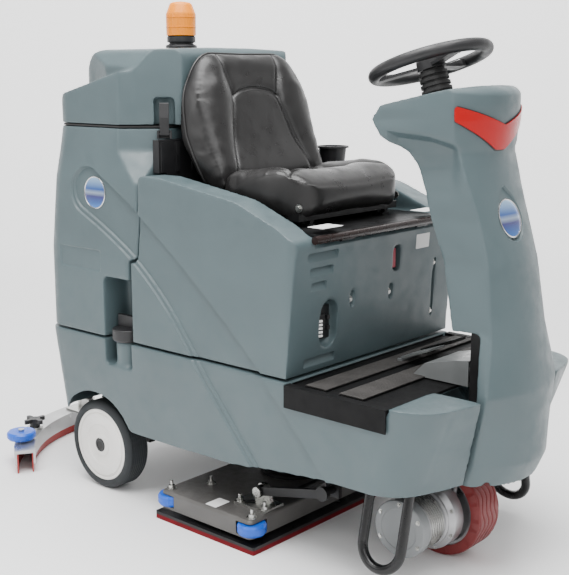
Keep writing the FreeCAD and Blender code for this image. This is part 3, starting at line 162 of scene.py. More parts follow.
finish("black_plastic", (0.011, 0.011, 0.012), 0.45)
finish("frame_steel", (0.007, 0.007, 0.0075), 0.38, specular=0.35)
finish("guard_tube", (0.003, 0.003, 0.0035), 0.25, specular=0.45)
finish("mat_rubber", (0.005, 0.005, 0.0053), 0.6, specular=0.15)
finish("seal_rubber", (0.012, 0.012, 0.012), 0.6)
finish("vinyl", (0.013, 0.0125, 0.0125), 0.36, grain_scale=1400, grain_depth=0.00005)
finish("red_lens", (0.4, 0.001, 0.002), 0.14, vary=0.05, specular=0.35)
finish("amber_lens", (0.86, 0.25, 0.0), 0.3, vary=0.02, specular=0.35)
finish("wheel_rim", (0.78, 0.76, 0.73), 0.4)
finish("tyre_grey", (0.022, 0.025, 0.027), 0.6, specular=0.3)
finish("drive_rubber", (0.16, 0.012, 0.012), 0.45)
finish("cast_metal", (0.42, 0.42, 0.43), 0.38, 0.9)
finish("plated_steel", (0.5, 0.5, 0.48), 0.3, 1.0)
finish("sheet_steel", (0.2, 0.21, 0.21), 0.38, 0.4)
finish("deck_paint", (0.095, 0.091, 0.087), 0.42, 0.2, vary=0.15, vary_scale=14)
finish("roller_blue", (0.003, 0.09, 0.55), 0.32)
finish("pad_red", (0.14, 0.005, 0.009), 0.9, vary=0.2, vary_scale=30, specular=0.2)
finish("squeegee_metal", (0.5, 0.5, 0.5), 0.35, 0.9)
finish("blade_red", (0.3, 0.015, 0.012), 0.4)
finish("battery_case", (0.02, 0.02, 0.022), 0.5)
finish("stop_red", (0.55, 0.01, 0.01), 0.25, coat=0.3)
finish("chrome", (0.62, 0.62, 0.62), 0.12, 1.0, vary=0.05)
MATERIALS["badge_blue"] = badge_face()
finish("label_white", (0.78, 0.78, 0.77), 0.45, vary=0.04)
finish("thread", (0.035, 0.035, 0.036), 0.6)
finish("plug_red", (0.33, 0.01, 0.035), 0.4)
# lip_trim: the trim's own dark tone, tinted reddish-brown as a painted reflection of the lip's sheen
finish("lip_trim", (0.014, 0.006, 0.005), 0.28, specular=0.4)
finish("motor_grey", (0.22, 0.23, 0.235), 0.45, 0.2)
finish("strip_grey", (0.05, 0.047, 0.045), 0.65, vary=0.25, vary_scale=18, specular=0.25)


def paint(thing, material):
    thing.data.materials.clear()
    thing.data.materials.append(material)


def paint_nodes():
    """Every CAD node gets the finish of its material slot."""
    for entry in frame["record"]["subparts"]:
        paint(frame["nodes"][entry["node"]], MATERIALS[entry["material_slot"]])


paint_nodes()


# -------- moulded shells
VOXEL = 0.005
WELD = 1e-5
AXLE_X = (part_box("rear_wheel_right")[0].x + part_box("rear_wheel_right")[1].x) / 2


def placed(name, data):
    """New object in the scene."""
    thing = bpy.data.objects.new(name, data)
    bpy.context.collection.objects.link(thing)
    return thing


def copy_of(node, name):
    """Working copy of a CAD node's mesh as a new object, its double points welded."""
    thing = placed(name, frame["nodes"][node].data.copy())
    thing.modifiers.new("weld", "WELD").merge_threshold = WELD
    return thing


def apply_modifiers(thing):
    """Turns the object's modifiers into plain mesh."""
    graph = bpy.context.evaluated_depsgraph_get()
    made = bpy.data.meshes.new_from_object(thing.evaluated_get(graph))
    thing.modifiers.clear()
    thing.data = made


def vectors(things, name):
    """One vector of each vertex or normal, as rows."""
    values = np.empty(len(things) * 3)
    things.foreach_get(name, values)
    return values.reshape(-1, 3)


def points_of(mesh):
    return vectors(mesh.vertices, "co")


def set_points(mesh, places):
    mesh.vertices.foreach_set("co", places.ravel())
    mesh.update()


def soft_shading(thing, angle=32):
    thing.data.shade_smooth()
    thing.data.set_sharp_from_angle(angle=math.radians(angle))


def swell(thing, distance):
    """Adds a modifier that moves every point along its normal."""
    move = thing.modifiers.new("swell", "DISPLACE")
    move.strength = distance
    move.mid_level = 0


def add_smoothing(thing, rounds):
    soften = thing.modifiers.new("soften", "SMOOTH")
    soften.factor = 0.5
    soften.iterations = rounds


def keep_largest_part(thing):
    """Drops loose fittings from a mesh and keeps its largest connected part."""
    bm = bmesh.new()
    bm.from_mesh(thing.data)
    bmesh.ops.remove_doubles(bm, verts=bm.verts, dist=WELD)
    bm.verts.ensure_lookup_table()
    waiting = set(range(len(bm.verts)))
    parts = []
    while waiting:
        stack = [waiting.pop()]
        part = set(stack)
        while stack:
            vertex = bm.verts[stack.pop()]
            for edge in vertex.link_edges:
                other = edge.other_vert(vertex).index
                if other in waiting:
                    waiting.remove(other)
                    part.add(other)
                    stack.append(other)
        parts.append(part)
    largest = max(parts, key=len)
    bmesh.ops.delete(bm, geom=[v for v in bm.verts if v.index not in largest], context="VERTS")
    bm.to_mesh(thing.data)
    bm.free()


def moulded(node, name, rounds, voxel=VOXEL, thicken=0.004, largest_only=False):
    """Soft-edged copy of a CAD solid, thickened only while it is remeshed, so that thin walls stay whole."""
    thing = copy_of(node, name)
    if largest_only:
        keep_largest_part(thing)
    swell(thing, thicken)
    remesh = thing.modifiers.new("remesh", "REMESH")
    remesh.mode = "VOXEL"
    remesh.voxel_size = voxel
    add_smoothing(thing, rounds)
    swell(thing, -thicken)
    apply_modifiers(thing)
    return thing


def smooth_line(points, steps=12):
    """Catmull-Rom curve through points."""
    points = np.array([points[0], *points, points[-1]], float)
    line = []
    for a, b, c, d in zip(points, points[1:], points[2:], points[3:]):
        for t in np.arange(steps) / steps:
            line.append(((2 * b) + (c - a) * t + (2 * a - 5 * b + 4 * c - d) * t * t
                         + (3 * b - a - 3 * c + d) * t ** 3) / 2)
    line.append(points[-1])
    return np.array(line)


def arc(centre, radius, start, end, steps=28):
    """Points on a circle between two angles in degrees."""
    angles = np.radians(np.linspace(start, end, steps))
    return np.stack([centre[0] + radius * np.cos(angles), centre[1] + radius * np.sin(angles)], axis=1)


def soft_line(corners, steps=6, closed=True):
    """Outline through (a, b) or (a, b, radius) corners, with those corners rounded."""
    line = []
    count = len(corners)
    for i, corner in enumerate(corners):
        here = np.array(corner[:2], float)
        if len(corner) < 3 or (not closed and i in (0, count - 1)):
            line.append(here)
            continue
        back = np.array(corners[i - 1][:2], float) - here
        ahead = np.array(corners[(i + 1) % count][:2], float) - here
        back /= np.hypot(*back)
        ahead /= np.hypot(*ahead)
        half = math.acos(max(-1.0, min(1.0, back @ ahead))) / 2
        reach = corner[2] / math.tan(half)
        for t in np.linspace(0, 1, steps):
            line.append(here + back * reach * (1 - t) ** 2 + ahead * reach * t * t)
    return np.array(line)


def rounded_outline(low, high, radius):
    """Rectangle with round corners."""
    corners = [((high[0] - radius, high[1] - radius), 0), ((low[0] + radius, high[1] - radius), 90),
               ((low[0] + radius, low[1] + radius), 180), ((high[0] - radius, low[1] + radius), 270)]
    return np.concatenate([arc(centre, radius, start, start + 90, 8) for centre, start in corners])


def distance_to(places, line):
    """Distance of flat points from a line."""
    best = np.full(len(places), 1e9)
    for a, b in zip(line, line[1:]):
        run = b - a
        share = np.clip(((places - a) @ run) / max(run @ run, 1e-18), 0, 1)
        best = np.minimum(best, np.hypot(*(places - a - share[:, None] * run).T))
    return best


def depth_inside(places, outline):
    """Distance of flat points from a closed outline, positive inside it; far points get -1."""
    result = np.full(len(places), -1.0)
    low, high = outline.min(0) - 0.03, outline.max(0) + 0.03
    near = np.flatnonzero(np.all((places > low) & (places < high), axis=1))
    p = places[near]
    loop = np.concatenate([outline, outline[:1]])
    best = distance_to(p, loop)
    inside = np.zeros(len(near), bool)
    for a, b in zip(loop, loop[1:]):
        if a[1] != b[1]:
            crosses = (a[1] > p[:, 1]) != (b[1] > p[:, 1])
            inside ^= crosses & (p[:, 0] < a[0] + (p[:, 1] - a[1]) / (b[1] - a[1]) * (b[0] - a[0]))
    result[near] = np.where(inside, best, -best)
    return result


def ease(values, low, high):
    """0 below low, 1 above high, smooth between."""
    share = np.clip((values - low) / (high - low), 0, 1)
    return share * share * (3 - 2 * share)


def relief(thing, level, slope, depth, push, where):
    """Presses a shape into a mesh, with its edges cut along lines of equal level.

    level(places) is the distance inside the shape, slope the width of its sloping edge, push(places) the
    direction of the depth, and where(places) is True on the vertices that may move.
    """
    mesh = thing.data
    places = points_of(mesh)
    values = np.where(where(places), level(places), -1.0)
    bm = bmesh.new()
    bm.from_mesh(mesh)
    layer = bm.verts.layers.float.new("level")
    for vertex, value in zip(bm.verts, np.where(values > -0.99, values, -1.0)):
        vertex[layer] = value
    for value in (0.0, slope):
        ends = np.array([(e.verts[0][layer], e.verts[1][layer]) for e in bm.edges]) - value
        crossing = ends[:, 0] * ends[:, 1] < 0
        crossing &= (np.abs(ends).min(axis=1) > 2e-5) & (ends.min(axis=1) > -0.5)
        bm.edges.ensure_lookup_table()
        cuts = []
        for edge, (first, second) in [(bm.edges[i], ends[i]) for i in np.flatnonzero(crossing)]:
            _, vertex = bmesh.utils.edge_split(edge, edge.verts[0], first / (first - second))
            vertex[layer] = value
            cuts.append(vertex)
        bmesh.ops.connect_verts(bm, verts=cuts)
    bm.to_mesh(mesh)
    bm.free()
    places = points_of(mesh)
    values = np.empty(len(mesh.vertices))
    mesh.attributes["level"].data.foreach_get("value", values)
    amount = np.interp(values, [0.0, slope], [0.0, depth])
    set_points(mesh, places + push(places) * amount[:, None])
    mesh.attributes.remove(mesh.attributes["level"])


def from_axle(points):
    """Side outline given in millimetres from the rear axle, as metres in the frame."""
    return np.array(points, float) / 1000 + (AXLE_X, 0)


# The channel that sweeps down both sides: a round end about the badge, then a band to the skirt
CHANNEL_END = (6.0, 849.0)
CHANNEL_RADIUS = 67.0
CHANNEL_TOP_SLOPE = 28.6
CHANNEL_LOW_SLOPE = 30.2
CHANNEL_STEP = 0.0045
CHANNEL_LEDGE = 13.0


def channel_outline(shrink=0.0):
    """Outline of the side channel; shrink narrows it from below and behind, not from above."""
    lean = math.radians(CHANNEL_TOP_SLOPE)
    centre = (CHANNEL_END[0] + shrink / 2 * math.sin(lean), CHANNEL_END[1] + shrink / 2 * math.cos(lean))
    end = arc(centre, CHANNEL_RADIUS - shrink / 2, 90 - CHANNEL_TOP_SLOPE, 270 - CHANNEL_LOW_SLOPE)
    under = np.array([end[-1], (83, 738), (194, 672), (305, 575), (402, 459), (510, 325), (603, 210),
                      (640, 160)])
    under[1:] += np.array((0.66, 0.75)) * shrink
    over = [(900, 150), (841, 234), (641, 459), (430, 645), (211, 808), tuple(end[0])]
    return from_axle(np.concatenate([end, smooth_line(under)[1:], smooth_line(over)[:-1]]))


def side_depth(outline):
    return lambda places: depth_inside(places[:, (0, 2)], outline)


def on_sides(places):
    return np.abs(places[:, 1]) > 0.3


def inward(places):
    direction = np.zeros_like(places)
    direction[:, 1] = -np.sign(places[:, 1])
    return direction


def press_side(thing, outline, depth):
    relief(thing, side_depth(outline), 0.004, depth, inward, on_sides)


def press_channel(thing):
    """The channel's two steps: one edge on top, a ledge along the lower one."""
    for shrink in (0.0, CHANNEL_LEDGE):
        press_side(thing, channel_outline(shrink), CHANNEL_STEP)


def skin(node, body, rounds, reliefs=(), largest_only=False):
    """Moulded copy that takes a CAD solid's place, with its reliefs pressed in."""
    thing = moulded(node, node + "_skin", rounds, largest_only=largest_only)
    for press in reliefs:
        press(thing)
    soft_shading(thing)
    paint(thing, MATERIALS["shell"])
    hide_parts(node)
    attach(thing, body)
    return thing


def side_scoop(thing):
    """Shallow rectangular scoop in the tank's side, with crisp edges all round."""
    outline = from_axle([(-112, 634), (62, 634), (62, 695), (-112, 695)])
    press_side(thing, outline, 0.003)


PANEL_FACE_X = 0.70


def on_front(places):
    """The sloping front of the seat box."""
    return places[:, 0] > AXLE_X + PANEL_FACE_X


def backward(places):
    direction = np.zeros_like(places)
    direction[:, 0] = -1
    return direction


def fading_backward(top, bottom):
    """Push that is full at one height and nothing at another, for scoops."""
    def push(places):
        direction = backward(places)
        return direction * np.clip((places[:, 2] - bottom) / (top - bottom), 0, 1)[:, None]
    return push


def front_outline(y, z, radius):
    """Rounded rectangle on the front panel, limits in millimetres."""
    low, high = np.array((y[0], z[0])) / 1000, np.array((y[1], z[1])) / 1000
    return rounded_outline(low, high, radius / 1000)


def front_depth(outline):
    return lambda places: depth_inside(places[:, (1, 2)], outline)


def press_front(thing, outline, slope, depth, push=backward):
    relief(thing, front_depth(outline), slope, depth, push, on_front)


LOUVRES = [((-283, -170), 752), ((-272, -185), 716), ((-264, -207), 681), ((-276, -160), 497)]
LOUVRE_HEIGHT = 22


def press_panel(thing):
    """Louvre scoops, screw recesses, a bolted groove and a ledge under the seat plate."""
    for y, top in LOUVRES:
        outline = front_outline(y, (top - LOUVRE_HEIGHT, top), 3)
        push = fading_backward(top / 1000, (top - LOUVRE_HEIGHT) / 1000)
        press_front(thing, outline, 0.0012, 0.009, push)
    for y, z in ((-103, 618), (57, 613)):
        outline = front_outline((y - 10, y + 10), (z - 22, z + 22), 9.9)
        press_front(thing, outline, 0.003, 0.006)
    press_front(thing, front_outline((244, 257), (514, 677), 6), 0.003, 0.004)
    press_front(thing, front_outline((-262, 262), (762, 812), 3), 0.010, 0.007)


COLUMN_LEAN = math.radians(18.6)
COLUMN_NORMAL = (math.cos(COLUMN_LEAN), 0, math.sin(COLUMN_LEAN))
BADGE_HEIGHT = 0.838


def press_badge_seat(thing):
    """Flat recess for the column's badge, round below and pointed above."""
    normal = np.array(COLUMN_NORMAL)
    centre = np.array((AXLE_X + 1.101, 0, BADGE_HEIGHT)) - 0.0065 * normal
    ring = arc((0, BADGE_HEIGHT), 0.051, -218, 38, 40)
    point = soft_line([(0.030, 0.888), (0, 0.914, 0.006), (-0.030, 0.888)], closed=False)
    outline = np.concatenate([ring, point])

    def to_plane(places):
        return -np.maximum((places - centre) @ normal, 0)[:, None] * normal

    def on_column(places):
        return places[:, 0] > AXLE_X + 1.0
    relief(thing, front_depth(outline), 0.003, 1.0, to_plane, on_column)


# Console at the column's top: plan radius of its front, height of its rim and how far back the rim is rounded
CONSOLE_FRONT = 1.080
CONSOLE_PLAN_RADIUS = 0.2145
CONSOLE_RIM = 1.1375
CONSOLE_ROUNDING = 0.060
CONSOLE_DROP = 0.030
CONSOLE_STEP = 0.016
CONSOLE_FILL = 0.011


def round_console_top(thing):
    """Rounds the console's rim down to its front face."""
    places = points_of(thing.data)
    y = np.clip(places[:, 1], -0.2, 0.2)
    front = AXLE_X + CONSOLE_FRONT - CONSOLE_PLAN_RADIUS + np.sqrt(CONSOLE_PLAN_RADIUS ** 2 - y ** 2)
    reach = np.clip(1 - (front - places[:, 0]) / CONSOLE_ROUNDING, 0, 1)
    limit = CONSOLE_RIM - CONSOLE_DROP * (1 - np.sqrt(1 - reach ** 2))
    places[:, 2] = np.where(reach > 0, np.minimum(places[:, 2], limit), places[:, 2])
    set_points(thing.data, places)


def press_console_underside(thing):
    """Steps the column in under the console's sides, and fills the console out above the step."""
    step = [(880, 1034), (973, 1023), (1041, 1001), (1110, 970), (1110, 850), (880, 850)]

    def push(places):
        fade = ease(places[:, 2], 0.86, 0.98) * (1 - ease(places[:, 0] - AXLE_X, 1.005, 1.048))
        return inward(places) * fade[:, None]

    def on_column_side(places):
        return (np.abs(places[:, 1]) > 0.09) & (places[:, 2] > 0.85)
    relief(thing, side_depth(from_axle(step)), 0.014, CONSOLE_STEP, push, on_column_side)
    places = points_of(thing.data)
    along = np.clip((places[:, 0] - AXLE_X - 0.862) / 0.190, 0, 1)
    edge = np.interp(along, [0, 0.6, 1], [1.036, 1.022, 1.000])
    above = ease(places[:, 2], edge - 0.012, edge + 0.006)
    outer = ease(np.abs(places[:, 1]), 0.10, 0.14)
    places[:, 1] += np.sign(places[:, 1]) * CONSOLE_FILL * (np.sin(math.pi * along) * above * outer)
    set_points(thing.data, places)


def shells():
    skin("lower_body", "machine", 7, reliefs=[press_channel])
    skin("recovery_tank", "machine", 7, reliefs=[press_channel, side_scoop])
    skin("seat_box", "machine", 7, reliefs=[press_channel, press_panel], largest_only=True)
    skin("tank_lid", "lid", 7)
    skin("column_shell", "machine", 4, reliefs=[round_console_top, press_console_underside, press_badge_seat])


shells()


# -------- making small pieces
def piece(name, points, faces, material, body, smooth=35):
    """New mesh riding on a body, painted in the given material."""
    mesh = bpy.data.meshes.new(name)
    mesh.from_pydata([tuple(p) for p in points], [], [tuple(f) for f in faces])
    bm = bmesh.new()
    bm.from_mesh(mesh)
    bmesh.ops.remove_doubles(bm, verts=bm.verts, dist=1e-6)
    bmesh.ops.recalc_face_normals(bm, faces=bm.faces)
    bm.to_mesh(mesh)
    bm.free()
    thing = placed(name, mesh)
    soft_shading(thing, smooth)
    paint(thing, MATERIALS[material])
    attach(thing, body)
    return thing


def lathe(name, profile, place, axis, material, body, steps=96, wave=None):
    """Solid of revolution; profile lists (radius, place on the axis), wave(angle, row) scales the radius."""
    turn = Vector((0, 0, 1)).rotation_difference(Vector(axis)).to_matrix()
    angles = [2 * math.pi * k / steps for k in range(steps)]
    points = []
    for row, (radius, along) in enumerate(profile):
        for angle in angles:
            r = radius if wave is None else radius * wave(angle, row)
            points.append(Vector(place) + turn @ Vector((r * math.cos(angle), r * math.sin(angle), along)))
    rows = len(profile)
    hollow = profile[0][0] > 1e-6 and profile[-1][0] > 1e-6
    faces = []
    for row in range(rows if hollow else rows - 1):
        below, above = row * steps, (row + 1) % rows * steps
        for k in range(steps):
            following = (k + 1) % steps
            faces.append((below + k, below + following, above + following, above + k))
    return piece(name, points, faces, material, body)


def around(place, radius, angle, along=0.0):
    """Point on a circle about a crosswise axle."""
    return Vector(place) + Vector((radius * math.cos(angle), along, radius * math.sin(angle)))


def facing(place, normal, up=(0, 0, 1)):
    """Matrix at a place, its z along the normal and its y upwards on the surface."""
    z = Vector(normal).normalized()
    x = Vector(up).cross(z).normalized()
    y = z.cross(x)
    return Matrix.Translation(Vector(place)) @ Matrix((x, y, z)).transposed().to_4x4()


def plate(name, outline, matrix, thickness, material, body, bevel=0.0005):
    """Flat plate: outline in the matrix's x and y, thickness along its z."""
    count = len(outline)
    points = [matrix @ Vector((x, y, height)) for height in (0, thickness) for x, y in outline]
    faces = [range(count - 1, -1, -1), range(count, 2 * count)]
    faces += [(k, (k + 1) % count, count + (k + 1) % count, count + k) for k in range(count)]
    thing = piece(name, points, faces, material, body)
    edges = thing.modifiers.new("bevel", "BEVEL")
    edges.width = bevel
    edges.segments = 2
    edges.limit_method = "ANGLE"
    return thing


def hexagon(angle):
    return math.cos(math.pi / 6) / math.cos(angle % (math.pi / 3) - math.pi / 6)


def bolt(name, place, axis, radius, body):
    """Hexagon head on a round washer."""
    washer = radius * 0.25
    head = [(radius * 1.12, washer), (radius * 1.12, radius * 0.85), (radius * 0.95, radius), (0, radius)]
    profile = [(0, 0), (radius * 1.7, 0), (radius * 1.7, washer), *head]
    return lathe(name, profile, place, axis, "plated_steel", body, 36,
                 lambda angle, row: hexagon(angle) if row in (3, 4) else 1.0)


def tube(name, path, radius, material, body):
    """Round tube along points."""
    curve = bpy.data.curves.new(name, "CURVE")
    curve.dimensions = "3D"
    curve.bevel_depth = radius
    curve.bevel_resolution = 3
    spline = curve.splines.new("POLY")
    spline.points.add(len(path) - 1)
    for point, place in zip(spline.points, path):
        point.co = (*place, 1)
    curve.use_fill_caps = True
    thing = placed(name, curve)
    paint(thing, MATERIALS[material])
    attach(thing, body)
    return thing


def spot(thing, place, direction):
    """Where a ray meets a piece, and the normal there."""
    _, where, normal, _ = thing.ray_cast(Vector(place), Vector(direction))
    return where, normal


def frame_place(x, y, z):
    """Point given in millimetres from the rear axle, in the frame."""
    return Vector((x / 1000 + AXLE_X, y / 1000, z / 1000))


def rounded(width, height, radius):
    """Rounded rectangle about the origin."""
    return rounded_outline((-width / 2, -height / 2), (width / 2, height / 2), radius)


# -------- badges and labels
def badge(name, place, normal, radius):
    """Blank domed badge in a bright ring."""
    ring = [(radius * 0.9, 0.0), (radius, 0.0), (radius, 0.0022), (radius * 0.965, 0.0034),
            (radius * 0.93, 0.0026), (radius * 0.9, 0.001)]
    lathe(name + "_ring", ring, place, normal, "chrome", "machine")
    inside = radius * 0.93
    dome = [(0, 0.0005), (inside, 0.0005), (inside, 0.002)]
    dome += [(inside * math.cos(t), 0.002 + 0.0022 * math.sin(t)) for t in np.linspace(0.15, math.pi / 2, 8)]
    lathe(name, dome, place, normal, "badge_blue", "machine")


def label(name, place, normal, width, height, up=(0, 0, 1), body="machine"):
    """Blank label."""
    matrix = facing(Vector(place) + Vector(normal).normalized() * 0.0002, normal, up)
    plate(name, rounded(width, height, 0.003), matrix, 0.0005, "label_white", body, 0.0002)


# -------- seat
def inflate(thing):
    """Swells a cushion with a short cloth simulation, limits how far its points move and smooths it."""
    start = points_of(thing.data)
    cloth = thing.modifiers.new("cloth", "CLOTH")
    cloth.settings.quality = 5
    cloth.settings.mass = 0.3
    cloth.settings.tension_stiffness = 18
    cloth.settings.compression_stiffness = 18
    cloth.settings.bending_stiffness = 12.0
    cloth.settings.use_pressure = True
    cloth.settings.uniform_pressure_force = CUSHION_PRESSURE
    cloth.settings.effector_weights.gravity = 0
    cloth.point_cache.frame_start = 1
    cloth.point_cache.frame_end = 20
    for frame_number in range(1, 21):
        bpy.context.scene.frame_set(frame_number)
    apply_modifiers(thing)
    bpy.context.scene.frame_set(1)
    moved = points_of(thing.data) - start
    length = np.maximum(np.linalg.norm(moved, axis=1), 1e-9)
    set_points(thing.data, start + moved * np.minimum(1, CUSHION_CAP / length)[:, None])
    smoothed(thing, 8)


def smoothed(thing, rounds):
    add_smoothing(thing, rounds)
    apply_modifiers(thing)


CUSHION_VOXEL = 0.006
CUSHION_SHRINK = -0.003
CUSHION_PRESSURE = 2.0
CUSHION_CAP = 0.006
BACKREST_MIDDLE = 1.03

# Backrest seams on its front: half distance between them at heights, then the arched seam between them
SEAM_LINE = [(0.110, 1.222), (0.103, 1.165), (0.088, 1.100), (0.106, 1.034), (0.118, 0.990),
             (0.134, 0.945), (0.146, 0.905)]
ARCH_LINE = [(-0.087, 1.099), (-0.055, 1.114), (0.0, 1.121), (0.055, 1.114), (0.087, 1.099)]


def press_seams(thing, seams, axes, direction, depth, width, front):
    """Sewn lines: a narrow deep line in a wide soft valley. front is each point's share that faces them."""
    places = points_of(thing.data)
    flat = places[:, axes]
    near = np.full(len(places), 1e9)
    for line in seams:
        near = np.minimum(near, distance_to(flat, line))
    valley = 0.45 * np.exp(-(near / (width * 4)) ** 2) + 0.55 * np.exp(-(near / width) ** 2)
    set_points(thing.data, places + np.array(direction) * (depth * valley * front)[:, None])


def plumped(node, name):
    """Cushion made from a CAD solid: remeshed a little small, inflated and subdivided."""
    thing = moulded(node, name, 8, CUSHION_VOXEL, CUSHION_SHRINK)
    inflate(thing)
    thing.modifiers.new("subdivide", "SUBSURF").levels = 1
    apply_modifiers(thing)
    return thing


def seat_backrest():
    """Backrest with padded bolsters, a lumbar swelling, an arched seam, piping and stitches."""
    thing = plumped("seat_backrest", "backrest_cover")
    places = points_of(thing.data)
    front = ease(vectors(thing.data.vertex_normals, "vector")[:, 0], 0.15, 0.6)
    side = np.abs(places[:, 1])
    seam = np.interp(places[:, 2], [p[1] for p in SEAM_LINE[::-1]], [p[0] for p in SEAM_LINE[::-1]])
    across = np.clip((side - seam) / (0.222 - seam), 0, 1)
    bolster = np.sin(math.pi * across ** 0.8) * ease(places[:, 2], 0.90, 1.0)
    bolster *= 1 - ease(places[:, 2], 1.13, 1.21)
    lumbar = np.exp(-((places[:, 2] - 1.0) / 0.05) ** 2) * (1 - ease(side, 0.03, 0.12))
    places[:, 0] += front * (0.016 * bolster + 0.004 * lumbar)
    set_points(thing.data, places)
    smoothed(thing, 12)
    sides = [smooth_line([(sign * y, z) for y, z in SEAM_LINE]) for sign in (-1, 1)]
    press_seams(thing, sides, (1, 2), (-1, 0, 0), 0.008, 0.0022, front)
    press_seams(thing, [smooth_line(ARCH_LINE)], (1, 2), (-1, 0, 0), 0.009, 0.0028, front)
    finish_cushion(thing, "seat_backrest")
    piping(thing)
    stitches(thing, sides + [smooth_line(ARCH_LINE)])


def finish_cushion(thing, node):
    """Vinyl cover that stands for a CAD cushion."""
    thing.data.shade_smooth()
    paint(thing, MATERIALS["vinyl"])
    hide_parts(node)
    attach(thing, "seat")


def piping(thing):
    """Welt along the backrest's side, where the front cover meets the back."""
    path = []
    for angle in np.radians(np.arange(-52, 233, 4)):
        out = Vector((0, math.cos(angle), math.sin(angle)))
        height = BACKREST_MIDDLE + 0.4 * out.z
        back = np.interp(np.clip(BACKREST_MIDDLE + 0.18 * out.z, 0.88, 1.21), [0.88, 1.0, 1.12, 1.21],
                         [0.338, 0.284, 0.262, 0.264])
        start = Vector((back + AXLE_X, 0.5 * out.y, height))
        aim = Vector((back + AXLE_X, 0, BACKREST_MIDDLE)) - start
        hit, where, normal, _ = thing.ray_cast(start, aim.normalized())
        if hit:
            path.append(where + normal * 0.001)
    tube("backrest_piping", path, 0.0036, "vinyl", "seat")


def stitches(thing, lines):
    """Rows of thread beside the backrest's seams, as short raised stitches."""
    points = []
    faces = []
    for line in lines:
        line = np.array(line)
        steps = np.concatenate([[0], np.cumsum(np.hypot(*np.diff(line, axis=0).T))])
        for start in np.arange(0.004, steps[-1] - 0.004, 0.0062):
            ends = [np.array([np.interp(s, steps, line[:, k]) for k in (0, 1)])
                    for s in (start, start + 0.0042)]
            along = (ends[1] - ends[0]) / max(np.hypot(*(ends[1] - ends[0])), 1e-9)
            aside = np.array((-along[1], along[0]))
            for offset in (-0.0062, 0.0062):
                corners = []
                for end, sign in ((ends[0], -1), (ends[1], -1), (ends[1], 1), (ends[0], 1)):
                    y, z = end + aside * (offset + sign * 0.0006)
                    hit, where, normal, _ = thing.ray_cast(Vector((AXLE_X + 0.6, y, z)), Vector((-1, 0, 0)))
                    if hit:
                        corners.append(where + normal * 0.0007)
                if len(corners) == 4:
                    first = len(points)
                    points += corners
                    points.append(sum(corners, Vector()) / 4 + Vector((0.0006, 0, 0)))
                    faces += [(first + k, first + (k + 1) % 4, first + 4) for k in range(4)]
    piece("backrest_stitches", points, faces, "thread", "seat", 80)


def seat_cushion():
    """Cushion with a front roll, a dip to sit in, side lobes and a crease beside each thigh."""
    thing = plumped("seat_cushion", "cushion_cover")
    places = points_of(thing.data)
    top = ease(vectors(thing.data.vertex_normals, "vector")[:, 2], 0.1, 0.7)
    x = places[:, 0] - AXLE_X
    side = np.abs(places[:, 1])
    roll = np.exp(-((x - 0.605) / 0.055) ** 2)
    dip = np.exp(-((x - 0.50) / 0.075) ** 2) * (1 - ease(side, 0.06, 0.15))
    lobe = np.exp(-((side - 0.178) / 0.032) ** 2) * ease(x, 0.37, 0.42) * (1 - ease(x, 0.53, 0.58))
    places[:, 2] += top * (0.010 * roll - 0.018 * dip + 0.008 * lobe)
    low, high = places[:, 2].min(), places[:, 2].max()
    forward = ease(x, 0.40, 0.60)
    places[:, 2] -= 0.014 * (1 - ease(places[:, 2], low, (low + high) / 2)) + 0.012 * forward * top
    set_points(thing.data, places)
    smoothed(thing, 6)
    crease = [(0.660, 0.250), (0.612, 0.205), (0.574, 0.152), (0.546, 0.135), (0.50, 0.128),
              (0.44, 0.128)]
    lines = [smooth_line([(AXLE_X + px, sign * py) for px, py in crease]) for sign in (-1, 1)]
    press_seams(thing, lines, (0, 1), (0, 0, -1), 0.012, 0.004, top)
    finish_cushion(thing, "seat_cushion")


def seat_bolts():
    """Bolts on the seat's sides, two behind and two in front."""
    for name, x, y, z in (("rear", 323, 150, 896), ("front", 638, 197, 841)):
        for side in (-1, 1):
            bolt(f"seat_bolt_{name}_{side + 1}", frame_place(x, side * y, z), (0, side, 0), 0.006, "seat")


seat_backrest()
seat_cushion()
seat_bolts()


# -------- front panel of the seat box
PANEL_LEAN = math.atan2(0.019, 0.281)
PANEL_NORMAL = Vector((math.cos(PANEL_LEAN), 0, -math.sin(PANEL_LEAN)))
seat_box_skin = bpy.data.objects["seat_box_skin"]


def on_panel(y, z):
    """Place on the sloping front of the seat box, from y and z in millimetres."""
    where, _ = spot(seat_box_skin, frame_place(900, y, z), (-1, 0, 0))
    return where


def panel_details():
    """Bolts and labels of the seat box, the charging socket's contacts and the battery plug."""
    for y, z in ((-103, 616), (57, 611)):
        bolt(f"panel_bolt_{int(z)}", on_panel(y, z), PANEL_NORMAL, 0.0052, "machine")
    for z in (529, 662):
        bolt(f"panel_hinge_bolt_{z}", on_panel(250, z), PANEL_NORMAL, 0.0045, "machine")
    label("panel_label", on_panel(184, 732), PANEL_NORMAL, 0.060, 0.044)
    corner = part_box("seat_plate")[1]
    for side in (-1, 1):
        place = (corner.x - 0.028, side * 0.208, corner.z)
        label(f"plate_label_{side + 1}", place, (0, 0, 1), 0.078, 0.048, up=(1, 0, 0), body="seat_plate")
    for k in range(5):
        at = facing(frame_place(724, -219, 545 + 9 * k), (1, -0.3, 0))
        plate(f"socket_contact_{k}", rounded(0.011, 0.0055, 0.001), at, 0.003, "label_white", "machine",
              0.0004)
    plate("battery_plug", rounded(0.017, 0.050, 0.002), facing(frame_place(718, 70, 697), (1, 0, 0)),
          0.010, "plug_red", "machine", 0.001)


def seat_plate_lip():
    """Rounded trim along the seat plate's front edge, over its hinge."""
    path = [frame_place(750, y, 783) for y in (-272, 272)]
    # The lip's reddish-brown tint is a painted reflection on its dark trim colour.
    tube("seat_plate_lip", path, 0.0098, "lip_trim", "seat_plate")


panel_details()
seat_plate_lip()


# -------- beacon
BEACON_SEAM = 1.262


